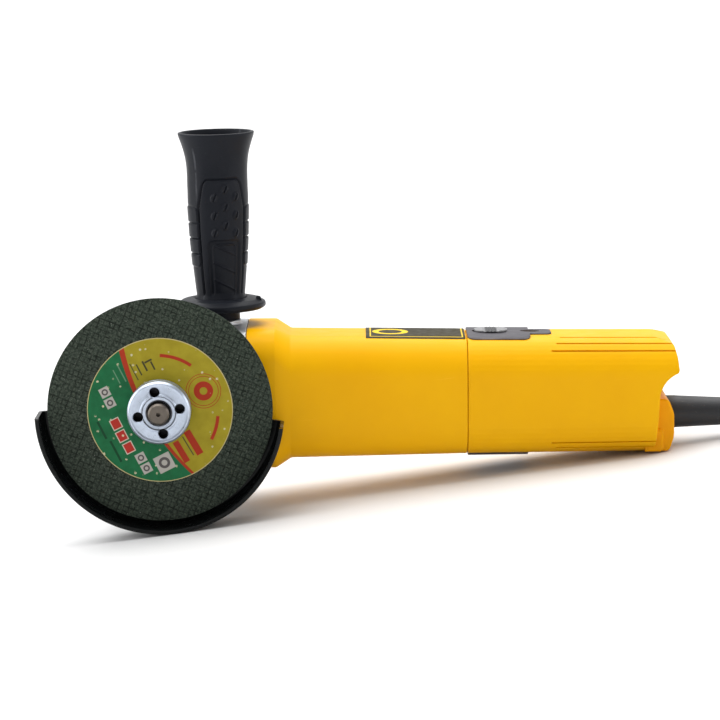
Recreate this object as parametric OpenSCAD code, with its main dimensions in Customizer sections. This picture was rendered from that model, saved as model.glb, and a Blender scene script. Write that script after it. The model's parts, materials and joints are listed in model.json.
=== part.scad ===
// Corded angle grinder with a slide switch, a side handle, a wheel guard and a thin cutting disc.
// Every piece is drawn in the tool's own frame, in millimetres: the spindle points along -Y, the motor
// lies along +X, the side handle stands along +Z, and the two axes cross at the origin.
// stand() then sets the whole tool down on its guard and its tail, with the floor at z = 0.
// On the spindle, depth means the distance from the motor axis toward the disc, along -Y.

/* [Wheel] */
// Cutting disc diameter
disc_d = 107; // [100:1:108]
// Cutting disc thickness
disc_t = 1.2; // [1:0.1:1.6]
// Disc bore diameter
disc_bore_d = 16; // [16:0.1:16.4]
// Diameter of the paper label on the disc
label_d = 69; // [50:1:80]
// Depth of the disc's back face
disc_depth = 47; // [46.5:0.1:48]
// Spindle thread diameter
thread_d = 10; // [10:0.1:10.2]
// Lock nut diameter
nut_d = 30; // [28:0.5:31]
// Lock nut thickness
nut_t = 9.3; // [8:0.1:10]
// Pitch circle of the four spanner holes in the lock nut
spanner_pcd = 20; // [19:0.5:21]
// Diameter of the spanner holes
spanner_hole_d = 5; // [4:0.5:5]

/* [Guard] */
// Outer radius of the wheel guard
guard_r = 59; // [58:0.5:62]
// Guard depth, from its back plate to its front lip
guard_w = 23; // [20:1:24]
// Sheet thickness of the guard
guard_t = 1.8; // [1.5:0.1:2]
// Angle that the guard covers, degrees
guard_span = 169; // [150:1:180]
// Turn of the guard's middle away from straight down, degrees
guard_turn = -2.8; // [-10:0.1:10]

/* [Gear head] */
// Half of the gear case's width across the handle holes
case_half = 30; // [29.5:0.1:30.5]
// Distance of the side handle behind the spindle
handle_x = 27.7; // [27:0.1:28]
// Lean of the side handle toward the nose, degrees
handle_lean = 1; // [0:0.5:2]
// Teeth of the gear on the spindle
gear_teeth = 36; // [36:4:40]
// Teeth of the pinion on the motor shaft
pinion_teeth = 10; // [10:1:10]
// Tooth module at the outer end of the teeth
tooth_module = 1.25; // [1.2:0.01:1.25]

/* [Housing] */
// Where the gear case ends and the plastic housing starts
case_end = 40.2; // [40:0.1:40.6]
// Half height and half depth of the wide collar behind the gear case
collar_half = [34, 30.5]; // [30:0.1:34]
// Half height and half depth of the motor housing at its front end
motor_half = [29.9, 29]; // [28.9:0.1:30]
// Half height and half depth of the housing at the seam
seam_half = [28.6, 28.2]; // [28:0.1:28.8]
// Half height and half depth of the housing at its tail
tail_half = [28, 27.4]; // [27.3:0.1:28.2]
// Where the wide collar starts to narrow, and where it has narrowed
collar_step = [54.2, 61.1]; // [54:0.1:62]
// Seam between the motor housing and the rear housing
seam_x = 146.3; // [146:0.1:147]
// End of the rear housing
tail_x = 248; // [247:0.5:249]
// Housing wall thickness
wall = 2.4; // [2.2:0.1:2.6]

/* [Side handle] */
// Length of the handle from its foot to its open top
handle_len = 91.2; // [85:0.1:95]
// Largest diameter of the grip
grip_d = 29.6; // [28:0.2:31]
// Diameter of the flared top
flare_d = 36.6; // [34:0.2:38]
// Diameter of the hand guard at the handle's foot
handle_flange_d = 43.2; // [40:0.2:45]

/* [Cord] */
// Diameter of the mains cord
cord_d = 7; // [6.5:0.1:7]
// Height of the cord's axis on the tail, below the motor axis
cord_drop = 11; // [10.5:0.1:11.5]
// Length of the strain relief outside the tail
relief_len = 59.6; // [50:0.1:60]
// Thickness of the plug
plug_t = 17; // [15:1:18]

/* [Hidden] */
$fn = 64;
gap = 0.02;
running = 0.03;
corner_steps = 8;
tiny = 0.01;

// Stack on the spindle, as depths from the motor axis
case_front = 26;
cover_front = 31;
guard_back = 32;
neck_front = disc_depth - 7.5;
flange_back = disc_depth - 6;
nut_back = disc_depth + disc_t + 0.2;
nut_front = nut_back + nut_t;
spindle_tip = nut_front + 3.5;
runout = [nut_front - 0.4, nut_front + 0.5];
guard_front = guard_back + guard_w;
guard_start = 270 + guard_turn - guard_span / 2;
case_back = -29;
cavity_back = -12;
cavity_r = 25.5;
neck_r = 20;
spindle_r = 6;
journal_r = 4;

// Screws: four through the gear case into the housing, four in the bearing cover, two in the rear housing
case_screw_y = 22;
case_screw_z = 26;
case_screw_seat = case_end - 8.2;
cover_screw = 22.3;
cover_screw_seat = cover_front - 2.7;
rear_screw = [seam_x + 8, 26.6, 16];

// Gear pair: both pitch cones start where the axes cross
gear_r = gear_teeth * tooth_module / 2;
pinion_r = pinion_teeth * tooth_module / 2;
cone_len = norm([gear_r, pinion_r]);
tooth_len = 7;
tooth_top = 0.75;
tooth_root = 1.1;
tooth_half = 0.6;
tooth_slope = 0.36;
web_depth = 6.6;

// Spindle lock
lock_x = -11;
lock_travel = 4;
lock_pin_r = 3;
lock_pin_front = web_depth + 1.9 - lock_travel;
lock_boss_back = -36;
lock_pocket = 9.5;

// Motor
shaft_r = 5;
bearing_x = 32;
fan_x = 44;
fan_r = 26.5;
baffle_x = 57.5;
core_x = [69, 107];
rotor_r = 15.8;
stator_bore_r = 16.4;
stator_r = 25.4;
coil_r = [17.3, 22.8];
end_turn = 7;
commutator_x = [117, 131];
commutator_r = 11;
brush_x = 124;
rear_bearing_x = 137;
rear_wall = [rear_bearing_x - 3, rear_bearing_x + 6.2];

// Corners of the shells, and the tail outline
collar_corner = 14;
body_corner = 17;
scoop = [tail_x + 4.5, -1];
scoop_r = 14;
crown_r = 11;
boss_half = 19;
boss_end = tail_x - 1.6;
tail_foot = [tail_x - 4.1, -27.4];

// Switch
knob_x = 158.6;
knob_z = 29.7;
knob_travel = 4;
knob_shank = 7;
rod_z = 22;
plate_t = 1;
vent_angles = [16, 38, 58, -52, -70];

// Handle and its threaded holes
boss_top = 36.3;
stud_r = 3.95;
thread_hole_r = 4;
thread_hole_len = 13;

// The tool rests on the guard's rim and on the lower edge of its tail
tilt = asin(guard_r / norm(tail_foot)) - atan2(-tail_foot[1], tail_foot[0]);
stand_shift = [-95.1, 11.35, guard_r];

// Cord route, in the frame of the floor: straight out of the strain relief, then down to the floor
cord_r = cord_d / 2;
cord_start = 214;
relief_end = boss_end + relief_len;
coil_turn_r = [31.5, 38.5, 45.5, 52.5];
coil_centre = [246, stand_shift[1] + coil_turn_r[3]];
plug_at = coil_centre + [-38, 22];
plug_len = 38;
plug_z = cord_d * 2 + 0.1 + plug_t / 2;
lead_in = [
    for (p = [[212, 7.4], [218, 6.5], [225, 5.5], [232, 4.6], [238, 4], [coil_centre[0], 3.6]])
        [p[0], stand_shift[1], p[1]]
];
// Last part of the cord, over the coil to the plug: offsets from the middle of the coil, and height
lead_out = [
    for (p = [
        [14.4, 39.5, 17.6], [7, 41.4, 17.6], [0, 42, 17.6], [-9, 42, 17.7], [-18, 42, 18.2],
        [-24.2, 41, 18.9], [-29.8, 38.2, 19.8], [-34.2, 33.8, 20.9], [-37, 28.2, 21.9],
        [-38, 22.1, plug_z]
    ]) [coil_centre[0] + p[0], coil_centre[1] + p[1], p[2]]
];

// ---- Frames ----

// Sets the tool down on the floor
module stand() {
    translate(stand_shift) rotate([0, tilt, 0]) children();
}

// Local +Z runs from the motor axis toward the disc, local XY is the tool's XZ
module on_spindle(depth = 0) {
    stand() rotate([90, 0, 0]) translate([0, 0, depth]) children();
}

// Local +Z runs along the motor axis toward the tail
module on_motor(x = 0, y = 0, z = 0) {
    stand() translate([x, y, z]) rotate([0, 90, 0]) children();
}

// Local +Z leaves the gear case along the side handle, from the top of its threaded boss
module on_handle() {
    stand() translate([handle_x, 0, boss_top]) rotate([0, -handle_lean, 0]) children();
}

// A point of the tool, as a point of the floor's frame
function to_floor(p) = [
    p[0] * cos(tilt) + p[2] * sin(tilt) + stand_shift[0],
    p[1] + stand_shift[1],
    -p[0] * sin(tilt) + p[2] * cos(tilt) + stand_shift[2]
];

// ---- Shapes used more than once ----

module tube(outer, inner, h) {
    difference() {
        cylinder(r = outer, h = h);
        translate([0, 0, -1]) cylinder(r = inner, h = h + 2);
    }
}

// Points of an arc, from angle a to angle b
function arc(centre, r, a, b, steps) = [
    for (i = [0:steps]) centre + r * [cos(a + (b - a) * i / steps), sin(a + (b - a) * i / steps)]
];

// Outline of a rectangle with round corners: half sizes and corner radius
function rounded(hx, hy, r) = [
    for (q = [0:3])
        let (sx = q == 0 || q == 3 ? 1 : -1, sy = q < 2 ? 1 : -1)
        each arc([sx * (hx - r), sy * (hy - r)], r, 90 * q, 90 * q + 90, corner_steps)
];

// Solid lofted along the motor axis through stations: place, half height and half depth, corner radius
module loft(stations) {
    n = 4 * (corner_steps + 1);
    last = len(stations) - 1;
    points = [for (s = stations, p = rounded(s[1][1], s[1][0], s[2])) [s[0], p[0], p[1]]];
    sides = [
        for (i = [0:last - 1], k = [0:n - 1])
            let (a = i * n + k, b = a + n, c = i * n + (k + 1) % n, d = c + n)
                each [[a, b, d], [a, d, c]]
    ];
    polyhedron(points, concat(
        [[for (k = [0:n - 1]) k]], sides, [[for (k = [n - 1:-1:0]) last * n + k]]
    ), convexity = 6);
}

// A station moved inward by t, or outward where t is negative
function moved_in(s, t) = [s[0], s[1] - [t, t], s[2] - t];

// Station of the motor housing and of the rear housing at x
function motor_station(x) =
    let (part = (x - collar_step[1]) / (seam_x - collar_step[1]))
    [x, motor_half + (seam_half - motor_half) * part, body_corner];
function rear_station(x) =
    let (part = (x - seam_x) / (tail_x - seam_x))
    [x, seam_half + (tail_half - seam_half) * part, body_corner];

// Screw along local -Z with its head above z = 0
module screw(head_r, head_h, shank_r, shank_len) {
    difference() {
        cylinder(r = head_r, h = head_h);
        for (a = [0, 90]) rotate([0, 0, a]) translate([-head_r * 0.6, -0.4, head_h - 1.2])
            cube([head_r * 1.2, 0.8, 2]);
    }
    translate([0, 0, -shank_len]) cylinder(r = shank_r, h = shank_len + 0.5);
}

// Closed tube swept along points, with its rings square to the path
function unit(v) = v / norm(v);
function path_dir(p, i) = unit(p[min(i + 1, len(p) - 1)] - p[max(i - 1, 0)]);
module swept(points, r, sides) {
    rings = [
        for (i = [0:len(points) - 1])
            let (d = path_dir(points, i), across = unit(cross([0, 0.3, 1], d)), up = cross(d, across))
            for (k = [0:sides - 1])
                points[i] + r * (across * cos(360 * k / sides) + up * sin(360 * k / sides))
    ];
    last = len(points) - 1;
    polyhedron(rings, concat(
        [[for (k = [0:sides - 1]) k]],
        [for (i = [0:last - 1]) for (k = [0:sides - 1]) [
            i * sides + k, (i + 1) * sides + k,
            (i + 1) * sides + (k + 1) % sides, i * sides + (k + 1) % sides
        ]],
        [[for (k = [sides - 1:-1:0]) last * sides + k]]
    ), convexity = 10);
}

// One straight tooth on a pitch cone whose tip is at the origin and whose axis is local +Z
module bevel_tooth(cone_angle) {
    along = [sin(cone_angle), 0, cos(cone_angle)];
    out = [cos(cone_angle), 0, -sin(cone_angle)];
    side = [0, 1, 0];
    low = -tooth_root - 0.2;
    function corner(len_on_cone, h, s) = (len_on_cone / cone_len) * (cone_len * along + h * out + s * side);
    function end(len_on_cone) = [
        corner(len_on_cone, low, tooth_half - low * tooth_slope),
        corner(len_on_cone, tooth_top, tooth_half - tooth_top * tooth_slope),
        corner(len_on_cone, tooth_top, -tooth_half + tooth_top * tooth_slope),
        corner(len_on_cone, low, -tooth_half + low * tooth_slope)
    ];
    polyhedron(concat(end(cone_len - tooth_len), end(cone_len)), [
        [3, 2, 1, 0], [4, 5, 6, 7], [1, 5, 4, 0], [2, 6, 5, 1], [3, 7, 6, 2], [0, 4, 7, 3]
    ]);
}

function root_point(cone_angle, len_on_cone) = (len_on_cone / cone_len) * [
    cone_len * sin(cone_angle) - tooth_root * cos(cone_angle),
    cone_len * cos(cone_angle) + tooth_root * sin(cone_angle)
];

// ---- Gear head ----

module gear_case() {
    pocket_x = 26;
    link_x = case_half - 5;
    link_len = 10;
    // Hollow behind the gear chamber, with a boss on each axis that crosses it
    hollow_back = case_back + 4;
    hollow_half = 25;
    hollow_corner = 9;
    axis_boss_r = 9.5;
    lock_boss_r = 7;
    hollow_end = 24;
    color("silver") difference() {
        union() {
            on_spindle(case_back) linear_extrude(case_front - case_back)
                polygon(rounded(case_half, case_half, 13));
            on_spindle(case_back - 2) cylinder(r = 24, h = 3);
            on_spindle() translate([lock_x, 0, lock_boss_back])
                cylinder(r = 10, h = case_back - lock_boss_back + 1);
            stand() translate([link_x, -case_front, -case_half])
                cube([link_len, case_front - case_back, case_half * 2]);
            stand() translate([case_end - 7.2, 0, 0]) rotate([90, 0, 90])
                linear_extrude(7.2) polygon(rounded(collar_half[1], collar_half[0], collar_corner));
            on_handle() translate([0, 0, -12]) cylinder(r = 9.5, h = 12);
            stand() translate([handle_x, 0, -boss_top]) cylinder(r = 9.5, h = 12);
        }
        // Gear chamber, pinion passage and the seats of three bearings
        on_spindle(cavity_back) cylinder(r = cavity_r, h = 60);
        difference() {
            on_spindle(hollow_back) linear_extrude(cavity_back - case_back)
                polygon(rounded(hollow_half, hollow_half, hollow_corner));
            on_spindle(case_back) cylinder(r = axis_boss_r, h = 40);
            on_spindle(case_back) translate([lock_x, 0, 0]) cylinder(r = lock_boss_r, h = 40);
            stand() translate([hollow_end, -30, -40]) cube([10, 80, 80]);
        }
        on_spindle(-24) cylinder(r = 6 + gap, h = 20);
        on_motor(15) cylinder(r = 8, h = 30);
        on_motor(bearing_x) cylinder(r = 13 + gap, h = 20);
        // Spindle lock: guide and pocket for the button
        on_spindle() translate([lock_x, 0, case_back - 2]) cylinder(r = lock_pin_r + 0.06, h = 30);
        on_spindle() translate([lock_x, 0, lock_boss_back - 1]) cylinder(r = 7.2, h = lock_pocket + 1);
        // Threaded holes for the side handle
        on_handle() translate([0, 0, -thread_hole_len]) cylinder(r = thread_hole_r, h = 20);
        stand() translate([handle_x, 0, -boss_top - 1]) cylinder(r = thread_hole_r, h = thread_hole_len + 1);
        // Screws into the housing, and screws of the bearing cover
        for (y = [-case_screw_y, case_screw_y], z = [-case_screw_z, case_screw_z]) {
            on_motor(pocket_x, y, z) cylinder(r = 4.3, h = case_screw_seat - pocket_x);
            on_motor(pocket_x, y, z) cylinder(r = 2.1, h = 20);
        }
        for (x = [-cover_screw, cover_screw], z = [-cover_screw, cover_screw])
            on_spindle(13) translate([x, z, 0]) cylinder(r = 1.95, h = 20);
    }
}

module gear_case_screws() {
    color("dimgray") for (y = [-case_screw_y, case_screw_y], z = [-case_screw_z, case_screw_z])
        stand() translate([case_screw_seat, y, z]) rotate([0, -90, 0]) screw(3.5, 3, 1.9, 24);
}

module bearing_cover() {
    color("silver") difference() {
        union() {
            on_spindle(case_front) linear_extrude(cover_front - case_front)
                polygon(rounded(case_half - 0.5, case_half - 0.5, 12.5));
            on_spindle(case_front) cylinder(r = neck_r, h = neck_front - case_front);
        }
        on_spindle(case_front - 1) cylinder(r = 16 + gap, h = 11);
        on_spindle(case_front) cylinder(r = 8, h = 20);
        for (x = [-cover_screw, cover_screw], z = [-cover_screw, cover_screw]) {
            on_spindle(case_front - 1) translate([x, z, 0]) cylinder(r = 2.1, h = 10);
            on_spindle(cover_screw_seat) translate([x, z, 0]) cylinder(r = 3.8, h = 5);
        }
    }
}

module bearing_cover_screws() {
    color("dimgray") for (x = [-cover_screw, cover_screw], z = [-cover_screw, cover_screw])
        on_spindle(cover_screw_seat) translate([x, z, 0]) screw(3.5, 2.5, 1.9, 14);
}

// Ball bearing drawn as a ring set: outer ring, inner ring and balls
module ball_bearing(outer_r, bore_r, width, balls) {
    land = (outer_r - bore_r) * 0.3;
    mid_r = (outer_r + bore_r) / 2;
    ball_r = (outer_r - bore_r) * 0.19;
    tube(outer_r, outer_r - land, width);
    tube(bore_r + land, bore_r, width);
    for (i = [0:balls - 1]) rotate([0, 0, 360 * i / balls])
        translate([mid_r, 0, width / 2]) sphere(r = ball_r);
    translate([0, 0, 0.3]) tube(outer_r - land + gap, bore_r + land - gap, 0.5);
    translate([0, 0, width - 0.8]) tube(outer_r - land + gap, bore_r + land - gap, 0.5);
}

module spindle_ball_bearing() {
    color("lightgray") on_spindle(case_front) ball_bearing(16, spindle_r + running, 10, 8);
}

module spindle_needle_bearing() {
    color("lightgray") on_spindle(-23.8) tube(6, journal_r + running, 11.6);
}

module dust_seal() {
    color("black") on_spindle(36.3) tube(7.9, spindle_r + 0.3, 3);
}

// ---- Spindle and wheel ----

module spindle() {
    color("gray") on_spindle() difference() {
        rotate_extrude() polygon([
            [0, -23.6], [journal_r - 0.5, -23.6], [journal_r, -23.1], [journal_r, -9], [spindle_r, -9],
            [spindle_r, 5.1], [5.5, 5.1], [5.5, 6.4], [spindle_r, 6.4], [spindle_r, flange_back],
            [thread_d / 2, flange_back], [thread_d / 2, runout[0]],
            [thread_d / 2 - 0.6, runout[0]], [thread_d / 2 - 0.6, runout[1]],
            [thread_d / 2, runout[1]], [thread_d / 2, spindle_tip - 0.8],
            [thread_d / 2 - 0.8, spindle_tip], [0, spindle_tip]
        ]);
        translate([0, 0, spindle_tip - 3]) cylinder(r = 1, h = 5);
    }
}

module bevel_gear() {
    angle = atan2(gear_r, pinion_r);
    inner = root_point(angle, cone_len - tooth_len);
    outer = root_point(angle, cone_len);
    color("darkgray") on_spindle() difference() {
        union() {
            rotate_extrude() polygon([
                [spindle_r + gap, web_depth], [inner[0] - 0.3, web_depth], inner, outer,
                [outer[0], 12], [12, 14], [10, 15], [10, 22], [spindle_r + gap, 22]
            ]);
            for (i = [0:gear_teeth - 1]) rotate([0, 0, 360 * i / gear_teeth]) bevel_tooth(angle);
        }
        for (a = [0:90:270]) rotate([0, 0, a]) translate([-lock_x, 0, web_depth - 1])
            cylinder(r = lock_pin_r + 0.3, h = 5.5);
    }
}

module gear_circlip() {
    color("black") on_spindle(5.2) difference() {
        tube(7.6, 5.55, 1.1);
        translate([5, -1, -1]) cube([5, 2, 4]);
    }
}

module spindle_spacer() {
    color("gray") on_spindle(22.05) tube(8.4, spindle_r + gap, case_front - 22.1);
}

module inner_flange() {
    color("silver") on_spindle() difference() {
        rotate_extrude() polygon([
            [thread_d / 2 + gap, flange_back], [12, flange_back], [16.5, flange_back + 2.6],
            [16.5, disc_depth - gap], [thread_d / 2 + gap, disc_depth - gap]
        ]);
        translate([0, 0, disc_depth - 0.8]) tube(11, 7, 2);
    }
}

module cutting_disc() {
    color("darkslategray") on_spindle(disc_depth) tube(disc_d / 2, disc_bore_d / 2 + 0.6, disc_t);
}

module disc_label() {
    color("olivedrab") on_spindle(disc_depth + disc_t + gap)
        tube(label_d / 2, disc_bore_d / 2 + 0.6, 0.15);
}

module disc_bore_ring() {
    color("silver") on_spindle(disc_depth) tube(disc_bore_d / 2 + 0.58, disc_bore_d / 2, disc_t);
}

module lock_nut() {
    r = nut_d / 2;
    color("lightsteelblue") on_spindle(nut_back) difference() {
        rotate_extrude() polygon([
            [thread_d / 2 + gap, 0], [r, 0], [r, 2.2], [r - 1, 2.6], [r - 1, 3.4], [r, 3.8],
            [r, nut_t - 1], [r - 1, nut_t], [8.4, nut_t], [8.2, nut_t - 0.7], [7.6, nut_t - 0.7],
            [7.4, nut_t], [7, nut_t], [6.8, nut_t - 0.5], [thread_d / 2 + 0.8, nut_t - 0.5],
            [thread_d / 2 + gap, nut_t - 1.3]
        ]);
        for (a = [11:90:281]) rotate([0, 0, a]) translate([spanner_pcd / 2, 0, 3.5])
            cylinder(r = spanner_hole_d / 2, h = nut_t);
    }
}

// ---- Wheel guard ----

module wheel_guard() {
    inner_r = guard_r - guard_t;
    color("black") on_spindle() {
        rotate([0, 0, guard_start]) rotate_extrude(angle = guard_span) polygon([
            [21, guard_back], [guard_r - 1.5, guard_back], [guard_r - 0.4, guard_back + 0.5],
            [guard_r, guard_back + 1.6], [guard_r, guard_front - 0.4], [inner_r, guard_front - 0.4],
            [inner_r, guard_back + guard_t], [21, guard_back + guard_t]
        ]);
        rotate([0, 0, guard_start + 4]) rotate_extrude(angle = guard_span - 7) polygon([
            [guard_r - 0.2, guard_front - 2], [guard_r - 0.2, guard_front - 0.3],
            [guard_r - 0.8, guard_front], [guard_r - 3.4, guard_front],
            [guard_r - 3.4, guard_front - 1.4], [inner_r - 0.3, guard_front - 2]
        ]);
        translate([0, 0, guard_back]) tube(22, neck_r + 0.08, 6.4);
    }
}

module guard_clamp() {
    color("dimgray") on_spindle(34) difference() {
        union() {
            tube(23.8, 22 + gap, 4.4);
            translate([-4.5, 22.5, 0]) cube([3.4, 7.5, 4.4]);
            translate([1.1, 22.5, 0]) cube([3.4, 7.5, 4.4]);
        }
        translate([-1.1, 20, -1]) cube([2.2, 20, 8]);
        translate([-10, 26.6, 2.2]) rotate([0, 90, 0]) cylinder(r = 1.6, h = 20);
    }
}

module guard_clamp_screw() {
    color("silver") on_spindle(34) translate([4.55, 26.6, 2.2]) rotate([0, 90, 0]) {
        screw(2.6, 2.2, 1.5, 11);
        translate([0, 0, -11.6]) tube(2.6, 1.5, 2.4);
    }
}

// ---- Spindle lock ----

module lock_button() {
    color("black") on_spindle() translate([lock_x, 0, lock_boss_back - 2.5]) difference() {
        union() {
            translate([0, 0, 1]) cylinder(r = 6.8, h = 5);
            cylinder(r1 = 5.8, r2 = 6.8, h = 1 + tiny);
        }
        translate([0, 0, 2.4]) cylinder(r = lock_pin_r + gap, h = 10);
    }
}

module lock_pin() {
    color("lightgray") on_spindle() translate([lock_x, 0, 0]) {
        translate([0, 0, lock_boss_back]) cylinder(r = lock_pin_r, h = lock_pin_front - lock_boss_back);
        translate([0, 0, cavity_back + 0.5]) cylinder(r = 4.6, h = 1.2);
    }
}

// Drawn pressed flat at the bottom of its pocket, so that the button can reach its stop
module lock_spring() {
    color("silver") on_spindle() for (i = [0:1]) translate([lock_x, 0, -27.05 - i * 0.9])
        rotate_extrude() translate([4.6, 0]) circle(r = 0.4, $fn = 24);
}

// ---- Housing ----

module motor_housing() {
    color("gold") stand() {
        difference() {
            loft([
                [case_end + 0.05, collar_half, collar_corner], [collar_step[0], collar_half, collar_corner],
                motor_station(collar_step[1]), motor_station(seam_x)
            ]);
            loft([
                moved_in([case_end - 1, collar_half, collar_corner], wall),
                moved_in([collar_step[0], collar_half, collar_corner], wall),
                moved_in(motor_station(collar_step[1]), wall), moved_in(motor_station(rear_wall[0]), wall)
            ]);
            loft([
                moved_in(motor_station(rear_wall[1]), wall), moved_in(motor_station(seam_x + 1), wall)
            ]);
            // Seat of the shaft's rear bearing, and the air holes round it
            translate([rear_bearing_x, 0, 0]) rotate([0, 90, 0]) cylinder(r = 9.5 + gap, h = 20);
            translate([rear_bearing_x - 10, 0, 0]) rotate([0, 90, 0]) cylinder(r = 6, h = 20);
            for (a = [45:90:315]) rotate([a, 0, 0]) translate([rear_bearing_x - 5, 0, 18])
                rotate([0, 90, 0]) cylinder(r = 5, h = 20);
        }
        // Corner bosses for the screws of the gear case
        for (y = [-case_screw_y, case_screw_y], z = [-case_screw_z, case_screw_z])
            translate([case_end + 0.05, y, z]) rotate([0, 90, 0]) tube(4.6, 2, 16);
    }
}

// Openings that several shells share: the slot of the slide switch, and the way out of the cord
module knob_slot() {
    translate([knob_x - knob_shank / 2 - knob_travel - 1, -2.6, 20])
        cube([knob_shank + knob_travel + 2, 5.2, 20]);
}
module cord_passage() {
    translate([tail_x - 20, 0, -cord_drop]) rotate([0, 90, 0]) cylinder(r = 8.1, h = 30);
}

// Side outline of the rear housing: a rounded crown over a scoop above the cord
module tail_outline() {
    polygon(concat(
        [[seam_x + 0.1, -50], [tail_x - 11.8, -50], [tail_x - 11.8, -28], [tail_x - 10.6, -20]],
        arc(scoop, scoop_r, 180, 110, 8),
        arc([tail_x - crown_r, 16.8], crown_r, 0, 84, 8),
        [[tail_x - 14, tail_half[0] + 0.6], [tail_x - 20, 50], [seam_x + 0.1, 50]]
    ));
}

module rear_housing() {
    color("gold") stand() difference() {
        intersection() {
            loft([rear_station(seam_x), rear_station(tail_x + 1)]);
            translate([0, 40, 0]) rotate([90, 0, 0]) linear_extrude(80) tail_outline();
        }
        loft([moved_in(rear_station(seam_x - 1), wall), moved_in(rear_station(tail_x - 14), wall)]);
        // Air slots along the four edges
        for (side = [-1, 1], a = vent_angles)
            translate([191, side * 11.5, a > 0 ? 11.5 : -11.5])
                rotate([side > 0 ? a : 180 - a, 0, 0]) translate([0, 10, -0.5]) cube([49, 10, 1]);
        knob_slot();
        cord_passage();
        for (z = [-rear_screw[2], rear_screw[2]]) translate([rear_screw[0], 20, z]) rotate([-90, 0, 0]) {
            cylinder(r = 1.7, h = 20);
            translate([0, 0, rear_screw[1] - 20]) cylinder(r = 3.4, h = 5);
        }
    }
}

module rear_housing_screws() {
    color("dimgray") for (z = [-rear_screw[2], rear_screw[2]])
        stand() translate([rear_screw[0], rear_screw[1], z]) rotate([-90, 0, 0]) screw(3.1, 1.2, 1.6, 5);
}

module tail_cover() {
    color("orange") stand() difference() {
        translate([0, boss_half, 0]) rotate([90, 0, 0]) linear_extrude(boss_half * 2) polygon([
            [tail_x - 11.7, tail_foot[1]], tail_foot, [boss_end - 0.3, tail_foot[1] + 2],
            [boss_end, tail_foot[1] + 8],
            [boss_end - 0.3, -10], [boss_end - 1, -6], [boss_end - 3, -2], [tail_x - 9.3, -2],
            [tail_x - 10.4, -19.8]
        ]);
        cord_passage();
    }
}

// Thin plate that follows the top of the motor housing
module name_plate() {
    x = [97.6, seam_x - 0.4];
    skin_t = 0.5;
    half_w = 17;
    color("darkolivegreen") stand() difference() {
        intersection() {
            loft([for (x = x) moved_in(motor_station(x), -skin_t)]);
            translate([x[0] - 1, -half_w, 0]) cube([x[1] - x[0] + 2, half_w * 2, 60]);
        }
        loft([moved_in(motor_station(x[0] - 1), -gap), moved_in(motor_station(x[1] + 1), -gap)]);
    }
}

module switch_plate() {
    x = [seam_x + 0.2, 176, 187.7];
    top = rear_station(x[0])[1][0];
    color("dimgray") stand() difference() {
        intersection() {
            translate([x[0], -20, top + gap]) cube([x[2] - x[0], 40, plate_t]);
            union() {
                translate([x[0], -15, 0]) cube([x[1] - x[0], 30, 60]);
                translate([x[1] - 2, -8, 0]) cube([x[2] - x[1] - 6, 16, 60]);
                translate([x[2] - 8, 0, 0]) cylinder(r = 8, h = 60);
            }
        }
        knob_slot();
        translate([x[1] + 1.2, 0, 20]) cylinder(r = 3, h = 20);
    }
}

module lower_plate() {
    x = [seam_x + 0.2, 176];
    top = rear_station(x[0])[1][0];
    color("dimgray") stand()
        translate([x[0], -15, -top - plate_t]) cube([x[1] - x[0], 30, plate_t - gap]);
}

// ---- Motor ----

module shaft_front_bearing() {
    color("lightgray") on_motor(bearing_x + 0.1) ball_bearing(13, 4.5 + running, 8, 8);
}

module shaft_rear_bearing() {
    color("lightgray") on_motor(rear_bearing_x) ball_bearing(9.5, 3.5 + running, 6, 7);
}

module air_baffle() {
    color("black") stand() difference() {
        translate([baffle_x, 0, 0]) rotate([90, 0, 90]) linear_extrude(2)
            polygon(rounded(26.2, 27, 14));
        translate([baffle_x - 1, 0, 0]) rotate([0, 90, 0]) cylinder(r = 17, h = 5);
    }
}

// Sector of a ring round the motor axis, centred on angle a
module sector(inner, outer, a, span, len) {
    rotate([0, 0, a - span / 2]) rotate_extrude(angle = span)
        translate([inner, 0]) square([outer - inner, len]);
}

module stator_core() {
    len = core_x[1] - core_x[0] + 2;
    color("darkgray") on_motor(core_x[0] - 1) difference() {
        cylinder(r = stator_r, h = len);
        translate([0, 0, -1]) cylinder(r = stator_bore_r, h = len + 2);
        for (a = [90, 270]) translate([0, 0, -1])
            sector(coil_r[0] - 0.3, coil_r[1] + 0.3, a, 42, len + 2);
    }
}

module field_coils() {
    len = core_x[1] - core_x[0] + 2 + 2 * end_turn;
    color("peru") on_motor(core_x[0] - 1 - end_turn) for (a = [0, 180]) {
        for (z = [0, len - end_turn + 0.3]) translate([0, 0, z])
            sector(coil_r[0], coil_r[1], a, 176, end_turn - 0.3);
        for (side = [-1, 1]) translate([0, 0, end_turn - 1])
            sector(coil_r[0] + 0.1, coil_r[1] - 0.1, a + side * 79, 17, len - 2 * end_turn + 2);
    }
}

module motor_shaft() {
    color("gray") on_motor() rotate_extrude() polygon([
        [0, 14.6], [2.4, 14.6], [3, 15.2], [3, 30.5], [4.5, 30.5], [4.5, 60], [shaft_r, 60],
        [shaft_r, 134], [3.5, 134], [3.5, 143.4], [3, 143.9], [0, 143.9]
    ]);
}

module rotor_core() {
    color("darkgray") on_motor(core_x[0]) difference() {
        tube(rotor_r, shaft_r + gap, core_x[1] - core_x[0]);
        for (i = [0:11]) rotate([0, 0, 30 * i]) translate([9, -1, -1])
            cube([8, 2, core_x[1] - core_x[0] + 2]);
    }
}

module rotor_windings() {
    len = core_x[1] - core_x[0];
    color("chocolate") on_motor(core_x[0]) {
        translate([0, 0, -end_turn + 0.2]) tube(14.6, 7, end_turn - 0.4);
        translate([0, 0, len + 0.2]) tube(14.6, 7, end_turn - 0.4);
        for (i = [0:11]) rotate([0, 0, 30 * i]) translate([9.3, -0.8, -0.5]) cube([5, 1.6, len + 1]);
    }
}

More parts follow.
